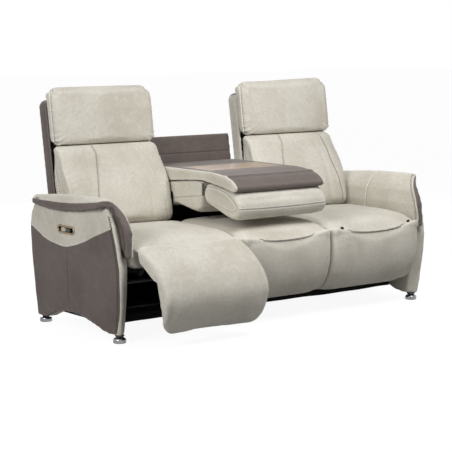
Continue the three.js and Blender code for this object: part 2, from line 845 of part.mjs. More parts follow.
const consoleCushionShares = [
  [0.975, 0.85], [0.995, 0.7], [1, 0.36], [0.98, 0.14], [0.9, 0.06], [0.72, 0.12], [0.58, 0.17], [0.4, 0.09],
  [0.17, 0.01], [0.08, 0.04], [0.03, 0.16], [0.01, 0.4], [0, 0.7], [0.02, 1], [0.26, 0.985], [0.5, 0.93],
  [0.72, 0.88],
];
const consoleRestShares = [
  [0.21, 0.8], [0.1, 0.68], [0.02, 0.5], [0, 0.32], [0.03, 0.14], [0.1, 0.02], [0.22, 0], [0.4, 0.08],
  [0.66, 0.24], [0.9, 0.39], [0.98, 0.5], [1, 0.74], [0.95, 0.95], [0.91, 0.99], [0.66, 0.93], [0.42, 0.86],
];

function consoleCushion() {
  const half = consoleWidth / 2;
  const bottom = consoleCushionTop - consoleCushionDepth;
  const pad = stuffedPad({
    outline: fromShares(consoleCushionShares, [consoleCushionFront, bottom],
      [consoleCushionLength, consoleCushionDepth]),
    low: -half,
    high: half,
    round: armGap * 2,
    draw: armGap / 2,
    bend: (point) => {
      const sink = THREE.MathUtils.clamp((consoleCushionTop - point.z) / consoleCushionDepth, 0, 1);
      point.z -= consoleCrown * sink * (1 - (point.x / half) ** 2);
      return point;
    },
  });
  const armX = half - consoleArmInset - consoleArmThickness;
  const reach = consoleArmWidth / 2 + 2 * plateGap;
  const tools = [-1, 1].flatMap((sign) => {
    const ends = [armX - plateGap, armX + consoleArmThickness + plateGap]
      .map((x) => sign * x).sort((a, b) => a - b);
    const outside = [armX - consoleArmInset, half + overrun].map((x) => sign * x).sort((a, b) => a - b);
    return [
      box([ends[0], consolePivotY - reach, consolePivotZ - reach],
        [ends[1], consolePivotY + reach, tableTop]),
      barX(consolePinRadius + 2 * plateGap, ...outside, consolePivotY, consolePivotZ),
    ];
  });
  return cut(pad, ...tools);
}

function consoleHeadrest() {
  const half = consoleWidth / 2 + fitGap;
  const pad = stuffedPad({
    outline: fromShares(consoleRestShares, [consoleRestFront, consoleRestTop - consoleRestDepth],
      [consoleRestLength, consoleRestDepth]),
    low: -half,
    high: half,
    round: armGap * 2,
    draw: armGap * 0.8,
  });
  const ends = [consoleRestHinge[1] - headrestPinRadius * earReachShare, tableTop];
  return cut(pad, ...earTools(bracketPlaces(-consoleWidth / 2, consoleWidth / 2), consoleRestHinge, ends));
}

// A plate welded to the inner side frame stands between two seats and carries a console pivot pin
function innerFrame() {
  const start = middleSeatWidth / 2 + (seatGap - consoleBracketThickness) / 2;
  const end = start + consoleBracketThickness;
  const foot = [consolePivotY, deckBottom - consoleArmWidth];
  const plate = prismX(rodOutline(foot, [consolePivotY, consolePivotZ], consoleArmWidth), start, end);
  const pinStart = consoleWidth / 2 - consoleArmInset - consoleArmThickness - plateGap;
  const pin = barX(consolePinRadius, pinStart, end, consolePivotY, consolePivotZ);
  return joined(sideFrame(innerFrameX), plate, pin);
}

// The middle deck also holds the board behind the fixed apron
function middleDeck(low, high) {
  const board = boardPlate(low + bracketInset / 2, high - bracketInset / 2);
  const arms = bracketPlaces(low, high).map((x) => box(
    [x - sideFrameThickness / 2, hingeY + boardSetback + boardThickness / 2, deckBottom - sideFrameThickness],
    [x + sideFrameThickness / 2, deckFront + overrun, deckBottom + plateThickness]));
  return joined(deck(low, high), board, ...arms);
}

// Rear panel: a leaning pad above the table, carried by a bent board behind the console
function rearPanel() {
  const lean = Math.tan(backRake * degrees);
  const swing = Math.hypot(tableRear - consolePivotY, tableTop - consolePivotZ);
  const raisedTurn = (90 - backRake) * degrees;
  const startTurn = Math.atan2(tableTop - consolePivotZ, tableRear - consolePivotY);
  const raised = [
    consolePivotY + swing * Math.cos(startTurn - raisedTurn),
    consolePivotZ + swing * Math.sin(startTurn - raisedTurn)];
  const front = (z) => raised[0] + rearPanelClearance + (z - raised[1]) * lean;
  const footRear = railRear + railDepth + 2 * fitGap + coverThickness;
  const outline = [
    [front(rearPanelStep), rearPanelStep],
    [rearPanelDepth, rearPanelStep],
    [rearPanelDepth, rearPanelBend],
    [footRear, backHingeZ + hingeBossRadius],
    [footRear, rearPanelFoot],
    [footRear + coverThickness, rearPanelFoot],
    [footRear + coverThickness, backHingeZ + hingeBossRadius],
    [rearPanelDepth + coverThickness, rearPanelBend],
    [rearPanelDepth + coverThickness, rearPanelStep + hingeBossRadius],
    [front(rearPanelTop) + rearPanelThickness, rearPanelTop - shellWall],
    [front(rearPanelTop) + rearPanelThickness / 2, rearPanelTop],
    [front(rearPanelTop), rearPanelTop - shellWall / 2],
  ];
  return prismX(outline, -consoleWidth / 2, consoleWidth / 2);
}

// Arms: a core with a taupe side panel, a cream yoke and a padded wing rolled over the top

const armHeightShares = [0, 0.12, 0.32, 0.52, 0.7, 0.84, 1];
const armFrontShares = [-0.56, -0.73, -0.95, -1.03, -0.72, -0.28, 0.6];
const armOuterShares = [-0.34, -0.28, -0.18, -0.08, 0, 0, -0.06];
const armRearShares = [0.966, 0.978, 0.99, 1, 1, 0.985, 0.91];
const armOuter = armInner + armWidth;
const footX = armInner + footInset;
const rearFootY = armDepth - footSetback;

function armRing(z, index, skin, inner, frontSkin) {
  const front = armFrontShares[index] * armFrontDepth + frontSkin;
  const outer = armOuter + armOuterShares[index] * armLean - skin;
  const rear = armRearShares[index] * armDepth - skin;
  const length = rear - front;
  const width = outer - armInner;
  const corner = Math.max(armCorner - skin, armCorner / 8);
  const full = outer + armCrown;
  return [
    [inner, rear], [inner, front + armBevel], [armInner, front + armBevel],
    [armInner + width * 0.5, front + armBevel * 0.4 + skin * 0.6],
    [outer - corner * 0.8, front + corner * 0.12],
    [outer - corner * 0.3, front + corner * 0.2], [outer, front + corner],
    [outer + armCrown * 0.6, front + length * 0.22], [full, front + length * 0.5], [full, rear - armCorner],
    [full - armCorner * 0.2, rear - armCorner * 0.2], [full - armCorner, rear],
  ].map(([x, y]) => new THREE.Vector3(x, y, z));
}

function armBlock(skin, inner, below, above, frontSkin = skin) {
  return loft(armHeightShares.map((share, index) => {
    const last = armHeightShares.length - 1;
    const extra = (index === last ? above : 0) - (index === 0 ? below : 0);
    const z = armBottom + share * (armTop - armBottom) + extra;
    return armRing(z, index, skin, inner, frontSkin);
  }));
}

const archShares = [
  [-0.01, -0.4], [0.01, 0.03], [0.09, 0.12], [0.18, 0.44], [0.34, 0.78], [0.52, 1], [0.66, 0.97],
  [0.8, 0.76], [0.93, 0.28], [0.99, 0.05], [1.01, -0.4],
];
const archFront = 46;
const archRear = 68;
const archLength = rearFootY - archFront - archRear;
const archHeight = 58;

function archTool() {
  return prismX(fromShares(archShares, [archFront, armBottom], [archLength, archHeight]),
    armInner - overrun, armOuter + 2 * overrun);
}

const yokeShares = [
  [1.16, 0.95], [1, 0.68], [0.88, 0.4], [0.77, 0.16], [0.64, 0.04], [0.52, 0], [0.4, 0.13], [0.28, 0.34],
  [0.16, 0.62], [0.06, 0.83], [-0.012, 1],
];
const yokeLow = 415;
const yokeRise = 122;

function panelTool(trim) {
  const rim = fromShares(yokeShares, [0, yokeLow - trim], [armDepth, yokeRise]);
  const edge = armHeightShares.map((share, index) => [
    armFrontShares[index] * armFrontDepth + armSkin / 2 + trim, armBottom + share * (armTop - armBottom)])
    .filter(([, z]) => z < yokeLow + yokeRise - armSkin)
    .toReversed();
  const last = edge[edge.length - 1];
  const foot = armBottom - overrun;
  const slab = prismX([...rim, ...edge, [last[0], foot], [rim[0][0], foot]],
    armInner - overrun, armOuter + 2 * overrun);
  const inside = armBlock(armSkin * 1.15 - trim, armInner - 2 * overrun, 2 * overrun, overrun, -overrun);
  return cut(slab, inside);
}

// Wing section: share out from the seat side, share up to the crest, share down from the crest to the rim
const wingShares = [
  [0.05, 0, 0], [0.03, 0.2, 0], [0, 0.42, 0], [0.04, 0.55, 0], [0.08, 0.68, 0], [0.18, 0.79, 0],
  [0.34, 0.89, 0], [0.5, 0.965, 0], [0.64, 1, 0], [0.82, 1, 0.3], [1, 1, 1],
];
const wingFrontShares = [-1, -0.98, -0.9, -0.65, -0.42, -0.16, 0.04, 0.16, 0.28, 0.5, 0.75];
const wingRearShares = [1, 1, 1, 1, 1, 1, 0.995, 0.99, 0.975, 0.95, 0.915];
const wingFrontDepth = 75;
const wingStationShares = [0, 0.1, 0.26, 0.45, 0.64, 0.83, 1];
const crestShares = [0, 0.12, 0.06, -0.06, -0.3, -0.66, -1];
const crestFall = 33;
const rimShares = [0.22, 0.5, 0.72, 0.87, 0.8, 0.58, 0.33];
const rimFall = 40;
const wingOffsetShares = [
  [1, 0], [1, 0], [1, 0], [1, -0.05], [0.98, -0.2], [0.88, -0.47], [0.68, -0.73], [0.42, -0.91],
  [0.2, -0.98], [0, -1], [0, -1],
];
const rimThickShares = [0.84, 0.9, 1.05, 1.08, 1.03, 0.84, 0.55];

function wingPoint(k, station, share, depth) {
  const [out, up, down] = wingShares[k];
  const crest = wingCrest + crestShares[station] * crestFall;
  const thin = THREE.MathUtils.lerp(1, rimThickShares[station], out);
  const x = armInner - wingInset + out * wingWidth + wingOffsetShares[k][0] * depth * thin;
  const z = wingBase + up * (crest - wingBase) - down * rimShares[station] * rimFall
    + wingOffsetShares[k][1] * depth * thin;
  const front = wingFrontShares[k] * wingFrontDepth;
  const rear = wingRearShares[k] * armDepth;
  return new THREE.Vector3(x, THREE.MathUtils.lerp(front, rear, share), z);
}

// Both layers start from the seam between them, so its facets match
function wingLayerBody(seam, face) {
  return loft(wingStationShares.map((share, station) => {
    const inside = wingShares.map((_, k) => wingPoint(k, station, share, seam));
    const outside = wingShares.map((_, k) => wingPoint(k, station, share, face));
    return [...inside, ...outside.toReversed()];
  }));
}

// Everything on the seat side of the wing and above it, kept out of the arm
function wingTool() {
  const last = wingStationShares.length - 1;
  const runs = [[-0.2, 0], ...wingStationShares.map((share, station) => [share, station]), [1.2, last]];
  return loft(runs.map(([run, station]) => {
    const under = wingShares.map((_, k) => wingPoint(k, station, run, wingThickness + wingClearance));
    const [first, rim] = [under[0], under[under.length - 1]];
    under[0] = first.clone().setZ(first.z - fitGap);
    return [
      new THREE.Vector3(armInner - overrun, first.y, first.z - fitGap),
      new THREE.Vector3(armInner - overrun, first.y, armCutTop),
      new THREE.Vector3(armOuter + 2 * overrun, rim.y, armCutTop),
      rim.clone().setX(armOuter + 2 * overrun),
      ...under.toReversed(),
    ];
  }));
}

const bezelFace = armOuter + armCrown + bezelProud;
const slotCornerShare = 0.84;

function slotShape(length, height) {
  const corner = height / 2 * slotCornerShare;
  return roundedShape(-length / 2, -height / 2, length / 2, height / 2, corner, corner);
}

function slotBody(length, height, low, high, y = panelY) {
  const body = new THREE.ExtrudeGeometry(slotShape(length, height),
    { depth: high - low, bevelEnabled: false, curveSegments: 2 });
  const turn = new THREE.Matrix4().set(0, 0, 1, low, 1, 0, 0, y, 0, 1, 0, panelZ, 0, 0, 0, 1);
  return body.applyMatrix4(turn);
}

function arm() {
  const outer = armBlock(0, armInner, 0, 0);
  const inside = armBlock(armSkin, armInner - overrun, overrun, overrun);
  const core = armBlock(armSkin + fitGap, armInner, 0, 0);
  const skin = cut(outer, inside, archTool(), wingTool());
  const pocket = slotBody(bezelLength + 2 * fitGap, bezelHeight + 2 * fitGap, bezelFace - bezelDepth - fitGap,
    bezelFace + overrun);
  return {
    core: cut(core, archTool(), wingTool(), pocket),
    panel: common(skin, panelTool(fitGap)),
    yoke: cut(skin, panelTool(0), pocket),
  };
}

function bezel() {
  const body = slotBody(bezelLength, bezelHeight, bezelFace - bezelDepth, bezelFace);
  const recess = slotBody(bezelLength - 2 * bezelRim, bezelHeight - 2 * bezelRim,
    bezelFace - bezelDepth + bezelProud, bezelFace + overrun);
  return cut(body, recess);
}

function button(sign) {
  const height = bezelHeight - 2 * bezelRim - 2 * buttonGap;
  const floor = bezelFace - bezelDepth + bezelProud + buttonProud;
  return slotBody(buttonLength, height, floor, floor + buttonDepth - bezelProud + buttonProud,
    panelY + sign * (buttonLength / 2 + buttonGap));
}

function foot(y) {
  const profile = [
    [0, 0], [footRadius - footEdge, 0], [footRadius, footEdge], [footRadius, footHeight - footEdge],
    [footNeckRadius, footHeight], [footNeckRadius, armBottom - fitGap], [0, armBottom - fitGap],
  ].map(([r, z]) => new THREE.Vector2(r, z));
  return new THREE.LatheGeometry(profile, 16).rotateX(Math.PI / 2).translate(footX, y, 0);
}

// Assembly

const armParts = arm();

sides.forEach(({ label, place, opening }) => {
  const add = (group, name, geometry, finish) => group.add(mesh(`${label}_${name}`, place(geometry), finish));
  const [low, high] = [seatInner, seatOuter];

  add(sofa, 'arm_core', armParts.core, 'timber');
  add(sofa, 'arm_side_panel', armParts.panel, 'taupeLeather');
  add(sofa, 'arm_yoke', armParts.yoke, 'creamLeather');
  add(sofa, 'arm_wing_pad', wingLayerBody(wingLayer, 0), 'creamLeather');
  add(sofa, 'arm_wing_band', wingLayerBody(wingLayer + fitGap, wingThickness), 'taupeLeather');
  add(sofa, 'control_bezel', bezel(), 'bronze');
  add(sofa, 'recline_button', button(1), 'silverPlastic');
  add(sofa, 'footrest_button', button(-1), 'blackPlastic');
  add(sofa, 'front_foot', foot(0), 'chrome');
  add(sofa, 'rear_foot', foot(rearFootY), 'chrome');

  add(sofa, 'inner_frame', innerFrame(), 'blackSteel');
  add(sofa, 'outer_frame', sideFrame(outerFrameX), 'blackSteel');
  add(sofa, 'seat_deck', pinnedDeck(low, high), 'blackBoard');
  add(sofa, 'seat_cushion', seatCushion(low, high), 'creamLeather');
  add(sofa, 'footrest_motor', gearMotor(driveY, driveZ, frameTop), 'blackPlastic');
  add(sofa, 'back_motor', backMotor(), 'blackPlastic');

  const footrest = new THREE.Group();
  footrest.position.set(0, hingeY, hingeZ);
  footrest.rotation.x = -opening * degrees;
  add(footrest, 'footrest_pad', slottedPad(low, high).translate(0, -hingeY, -hingeZ), 'creamLeather');
  add(footrest, 'footrest_board', footrestBoard(low, high).translate(0, -hingeY, -hingeZ), 'blackSteel');
  sofa.add(footrest);

  const drive = new THREE.Group();
  drive.position.set(0, driveY, driveZ);
  drive.rotation.x = -opening * degrees;
  add(drive, 'drive_shaft', driveShaft(low, high).translate(0, -driveY, -driveZ), 'blackSteel');
  const links = new THREE.Group();
  links.position.set(0, crankPin[0] - driveY, crankPin[1] - driveZ);
  links.rotation.x = opening * degrees;
  add(links, 'drive_link', driveLink(low, high).translate(0, -crankPin[0], -crankPin[1]), 'blackSteel');
  drive.add(links);
  sofa.add(drive);

  const back = new THREE.Group();
  back.position.set(0, backHingeY, backHingeZ);
  back.rotation.x = -backRake * degrees;
  add(back, 'back_shell', backShell(), 'taupeLeather');
  add(back, 'back_frame', backFrame(), 'timber');
  add(back, 'back_cushion', backCushion(), 'creamLeather');
  add(back, 'headrest', headrest(), 'creamLeather');
  sofa.add(back);
});

const middle = [-middleSeatWidth / 2, middleSeatWidth / 2];
sofa.add(
  mesh('front_rail', rail(railFront), 'blackSteel'),
  mesh('rear_rail', rail(railRear), 'blackSteel'),
  mesh('rear_cover', rearCover(), 'taupeLeather'),
  mesh('rear_panel', rearPanel(), 'taupeLeather'),
  mesh('middle_seat_deck', middleDeck(...middle), 'timber'),
  mesh('middle_seat_cushion', seatCushion(...middle), 'creamLeather'),
  mesh('middle_apron_pad', footrestPad(...middle, 0), 'creamLeather'),
  mesh('console_shell', consoleShell(), 'taupeLeather'),
  mesh('console_frame', consoleFrame(), 'timber'),
  mesh('console_cushion', consoleCushion(), 'creamLeather'),
  mesh('console_headrest', consoleHeadrest(), 'creamLeather'),
  mesh('console_tray', tray(0), 'trayWood'),
);

// The origin is under the middle of the whole sofa, on the floor
sofa.updateMatrixWorld(true);
const extent = new THREE.Box3().setFromObject(sofa, true);
const centre = extent.getCenter(new THREE.Vector3());
sofa.position.set(-centre.x, -centre.y, -extent.min.z);

export default sofa;
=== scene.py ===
"""Three-seat reclining sofa with a drop down console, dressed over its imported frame.

Each sub-assembly is a class. It lifts the soft solids of the frame, fills them out as
stuffed covers, sews the seams into them and gives every piece its finish.
"""

import logging
import math
from collections.abc import Callable, Iterable, Sequence
from dataclasses import dataclass, field
from enum import Enum

import bmesh
import bpy
import numpy as np
from mathutils import Matrix, Vector
from mathutils.bvhtree import BVHTree


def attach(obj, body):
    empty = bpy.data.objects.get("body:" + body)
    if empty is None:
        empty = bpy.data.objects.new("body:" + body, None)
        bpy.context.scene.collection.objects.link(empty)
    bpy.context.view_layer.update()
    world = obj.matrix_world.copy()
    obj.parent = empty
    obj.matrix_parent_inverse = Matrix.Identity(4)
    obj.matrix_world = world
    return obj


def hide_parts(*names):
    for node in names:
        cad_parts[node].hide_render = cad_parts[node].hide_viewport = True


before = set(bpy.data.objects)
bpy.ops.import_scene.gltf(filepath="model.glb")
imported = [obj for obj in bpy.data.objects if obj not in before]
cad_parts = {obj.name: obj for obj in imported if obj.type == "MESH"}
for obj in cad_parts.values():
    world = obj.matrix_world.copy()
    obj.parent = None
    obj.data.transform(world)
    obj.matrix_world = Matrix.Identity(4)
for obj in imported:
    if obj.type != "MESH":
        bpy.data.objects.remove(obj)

log = logging.getLogger("sofa")
MM = 0.001
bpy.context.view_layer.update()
Rgba = tuple[float, float, float, float]
Point = tuple[float, float, float]


def tone(*channels: float) -> Rgba:
    """The linear colour of a screen colour.

    Args:
        channels: Its red, green and blue, from 0 to 255.

    Returns:
        The same colour as light, opaque.
    """
    shares = [value / 255 for value in channels]
    light = [s / 12.92 if s <= 0.04045 else ((s + 0.055) / 1.055) ** 2.4 for s in shares]
    return (*light, 1.0)


WHITE = tone(255, 255, 255)


# Shader values

class Flow:
    """A number, vector or colour that runs on from a node's socket."""

    def __init__(self, bench: "Bench", node: bpy.types.Node, output: int | str = 0) -> None:
        """Takes up a value.

        Args:
            bench: The bench that the node stands on.
            node: The node.
            output: The socket that the value leaves by.
        """
        self.bench = bench
        self.node = node
        self.socket = node.outputs[output]

    def out(self, output: int | str) -> "Flow":
        """Another value of the same node."""
        return Flow(self.bench, self.node, output)

    def maths(self, operation: str, *others: "Flow | float", turned: bool = False) -> "Flow":
        """Runs one Math operation.

        Args:
            operation: The Math node's operation.
            others: The other values it takes.
            turned: Whether this value comes second.

        Returns:
            The result.
        """
        values = [self, *others]
        if turned:
            values.reverse()
        return self.bench.node("ShaderNodeMath", {"operation": operation}, dict(enumerate(values)))

    def __add__(self, other: "Flow | float") -> "Flow":
        """The sum."""
        return self.maths("ADD", other)

    __radd__ = __add__

    def __sub__(self, other: "Flow | float") -> "Flow":
        """The difference."""
        return self.maths("SUBTRACT", other)

    def __rsub__(self, other: float) -> "Flow":
        """The difference, from a plain number."""
        return self.maths("SUBTRACT", other, turned=True)

    def __mul__(self, other: "Flow | float") -> "Flow":
        """The product."""
        return self.maths("MULTIPLY", other)

    __rmul__ = __mul__

    def __truediv__(self, other: "Flow | float") -> "Flow":
        """The quotient."""
        return self.maths("DIVIDE", other)

    def __abs__(self) -> "Flow":
        """The size without its sign."""
        return self.maths("ABSOLUTE")

    def most(self, other: "Flow | float") -> "Flow":
        """The larger of the two."""
        return self.maths("MAXIMUM", other)

    def share(self) -> "Flow":
        """The part after the point, which repeats from 0 to 1."""
        return self.maths("FRACT")

    def sine(self) -> "Flow":
        """The sine."""
        return self.maths("SINE")

    def ease(self, low: float, high: float, start: float = 0.0, end: float = 1.0) -> "Flow":
        """Turns smoothly from start to end as the value goes from low to high.

        Args:
            low: Where the turn starts.
            high: Where it ends.
            start: The result before it.
            end: The result after it.

        Returns:
            The eased value.
        """
        return self.bench.node(
            "ShaderNodeMapRange", {"interpolation_type": "SMOOTHSTEP"},
            {0: self, 1: low, 2: high, 3: start, 4: end})


class Bench:
    """The nodes of one material, or of the world."""

    def __init__(self, name: str, world: bpy.types.World | None = None) -> None:
        """Starts an empty tree.

        Args:
            name: The new material's name.
            world: The world to shade instead, if any.
        """
        self.material = world or bpy.data.materials.new(name)
        self.material.use_nodes = True
        self.tree = self.material.node_tree
        self.tree.nodes.clear()
        self.output = self.tree.nodes.new(
            "ShaderNodeOutputWorld" if world else "ShaderNodeOutputMaterial")

    def node(self, kind: str, settings: dict | None = None, inputs: dict | None = None,
             output: int | str = 0) -> Flow:
        """Adds one node of any kind.

        Args:
            kind: The node's type.
            settings: Its settings, set first.
            inputs: Values or links of its sockets, by number or name.
            output: The socket that the result leaves by.

        Returns:
            The value of that socket.
        """
        made = self.tree.nodes.new(kind)
        for key, value in (settings or {}).items():
            setattr(made, key, value)
        for key, value in (inputs or {}).items():
            if isinstance(value, Flow):
                self.tree.links.new(value.socket, made.inputs[key])
            else:
                made.inputs[key].default_value = value
        return Flow(self, made, output)

    def place(self) -> Flow:
        """The point on the piece, in metres."""
        return self.node("ShaderNodeTexCoord", output="Object")

    def noise(self, where: Flow, scale: float, detail: float = 2.0, rough: float = 0.5) -> Flow:
        """Soft clouds from 0 to 1, scale of them to a metre."""
        return self.node("ShaderNodeTexNoise", None,
                         {"Vector": where, "Scale": scale, "Detail": detail, "Roughness": rough})

    def cells(self, where: Flow, scale: float) -> Flow:
        """The distance to the nearest of many scattered points."""
        return self.node("ShaderNodeTexVoronoi", None, {"Vector": where, "Scale": scale})

    def stretched(self, where: Flow, factors: Point) -> Flow:
        """The place, drawn out along the axes."""
        return self.node("ShaderNodeMapping", None, {"Vector": where, "Scale": factors})

    def blend(self, mask: Flow | float, first: Flow | Rgba, second: Flow | Rgba) -> Flow:
        """One colour where the mask is 0 and the other where it is 1."""
        return self.node("ShaderNodeMix", {"data_type": "RGBA"}, {0: mask, 6: first, 7: second}, 2)

    def attribute(self, name: str) -> Flow:
        """A value kept on the piece's points."""
        return self.node("ShaderNodeAttribute", {"attribute_name": name}, output="Vector")

    def split(self, vector: Flow) -> Flow:
        """The three numbers of a vector."""
        return self.node("ShaderNodeSeparateXYZ", None, {0: vector})

    def finish(self, surface: dict, height: Flow | None = None) -> bpy.types.Material:
        """Ends the tree in one shader.

        Args:
            surface: Values and links of the shader's sockets.
            height: The relief in metres, if any.

        Returns:
            The material.
        """
        inputs = dict(surface)
        if height is not None:
            inputs["Normal"] = self.node(
                "ShaderNodeBump", None, {"Strength": 1.0, "Distance": 1.0, "Height": height})
        return self.close(self.node("ShaderNodeBsdfPrincipled", None, inputs))

    def close(self, shader: Flow) -> bpy.types.Material | bpy.types.World:
        """Lets a shader end the tree."""
        self.tree.links.new(shader.socket, self.output.inputs["Surface"])
        return self.material


# Seams: a traced line's step, how far its lie is kept, how it fades, and its folds
TRACE_STEP = 4 * MM
REACH = 26 * MM
REACH_FADE = 8 * MM
END_FADE = 3 * MM
RIDGE_WIDTH = 5 * MM
FOLD_WIDTH = 11 * MM
FOLD_PITCH = 31 * MM
FOLD_DRIFT = 47.0

# Threads in metres: their pitch, and where their edge starts and ends
# SUNK_EDGE bounds the sunk line of a seam, which gets painted shade and a small relief.
SUNK_EDGE = (0.0006, 0.0024)
ZIGZAG_PITCH, ZIGZAG_SWING, ZIGZAG_EDGE = 0.012, 0.02, (0.0016, 0.003)
DASH_PITCH, DASH_EDGE, DASH_END = 0.014, (0.0019, 0.0033), (0.3, 0.38)
THREAD_RISE, LINE_SINK = 0.0006, 0.0008


class Stitch(Enum):
    """How a seam shows."""

    PLAIN = "a sunk line"
    DASHES = "a sunk line with a row of topstitches beside it"
    ZIGZAG = "a zig-zag row over the join"


class Thread(Enum):
    """The threads the covers are sewn with; black also paints shade in sunk seam lines."""

    WHITE = tone(240, 238, 228)
    STONE = tone(176, 168, 152)
    BLACK = tone(44, 38, 36)


@dataclass(frozen=True)
class Seam:
    """One seam, as a line of points in millimetres that lies near the cover.

    It sinks by its depth over its width and puckers. Its thread, and its ridge if it has
    one, lie its offset beside it. The line is how dark the painted shade in the sunk line
    is, from 0 to 1.
    """

    points: tuple[Point, ...]
    stitch: Stitch = Stitch.PLAIN
    thread: Thread = Thread.STONE
    depth: float = 2.6
    width: float = 5.0
    offset: float = 6.0
    pucker: float = 0.0
    line: float = 0.55
    ridge: float = 0.0
    closed: bool = False

    def traced(self, tree: BVHTree) -> np.ndarray:
        """The seam as a close row of points on the cover.

        Args:
            tree: The cover's faces.

        Returns:
            The points in metres, 4 mm apart.
        """
        line = np.array(self.points, float) * MM
        if self.closed:
            line = np.vstack([line, line[:1]])
        ends = np.vstack([2 * line[0] - line[1], line, 2 * line[-1] - line[-2]])
        rows = []
        for a, b, c, d in zip(ends, ends[1:], ends[2:], ends[3:]):
            count = max(2, int(np.linalg.norm(c - b) / TRACE_STEP))
            t = np.linspace(0, 1, count, endpoint=False)[:, None]
            rows.append(0.5 * (2 * b + (c - a) * t + (2 * a - 5 * b + 4 * c - d) * t ** 2
                               + (3 * b - a - 3 * c + d) * t ** 3))
        rows.append(line[-1:])
        return np.array([tree.find_nearest(Vector(p))[0] for p in np.vstack(rows)])

    def measured(self, points: np.ndarray, normals: np.ndarray, tree: BVHTree) -> np.ndarray:
        """How the cover's points lie to the seam.

        Args:
            points: The cover's points.
            normals: Their normals.
            tree: The cover's faces.

        Returns:
            For each point the signed distance across, the length along and the strength.
        """
        line = self.traced(tree)
        found = np.tile((1.0, 0.0, 0.0), (len(points), 1))
        near = np.all((points > line.min(0) - REACH) & (points < line.max(0) + REACH), axis=1)
        if not near.any():
            return found
        where, facing = points[near], normals[near]
        steps = line[1:] - line[:-1]
        sizes = np.maximum(np.linalg.norm(steps, axis=1), 1e-9)
        lengths = np.concatenate([[0], np.cumsum(sizes)])
        best = np.full(len(where), np.inf)
        row = np.zeros((len(where), 3))
        for index, (start, step, size) in enumerate(zip(line[:-1], steps, sizes)):
            off = where - start
            raw = off @ step / size ** 2
            share = np.clip(raw, 0, 1)
            rest = off - share[:, None] * step
            gap = np.einsum("ij,ij->i", rest, rest)
            closer = gap < best
            side = np.cross(step / size, facing)
            side /= np.maximum(np.linalg.norm(side, axis=1), 1e-6)[:, None]
            across = np.einsum("ij,ij->i", rest, side)
            beyond = np.abs(raw - share) * size
            first, last = index == 0, index == len(steps) - 1
            kept = np.ones(len(where)) if self.closed or not (first or last) else \
                np.clip(1 - beyond / END_FADE, 0, 1)
            best = np.where(closer, gap, best)
            row[closer, 0] = across[closer]
            row[closer, 1] = (lengths[index] + share * size)[closer]
            row[closer, 2] = kept[closer]
        row[:, 2] *= np.clip((REACH - np.sqrt(best)) / REACH_FADE, 0, 1)
        found[near] = row
        return found

    def relief(self, lie: np.ndarray) -> np.ndarray:
        """How far the cover stands out along the seam.

        Args:
            lie: How the cover's points lie to the seam.

        Returns:
            A height for each point, in metres.
        """
        across, along, strength = lie.T
        sunk = -self.depth * MM * np.exp(-(across / (self.width * MM)) ** 2)
        raised = self.ridge * MM * np.exp(-((across - self.offset * MM) / RIDGE_WIDTH) ** 2)
        folds = np.sin(along * math.tau / FOLD_PITCH + 2.1 * np.sin(along * FOLD_DRIFT)) \
            * np.exp(-np.abs(across) / FOLD_WIDTH)
        return strength * (sunk + raised + self.pucker * MM * folds)


# Finishes

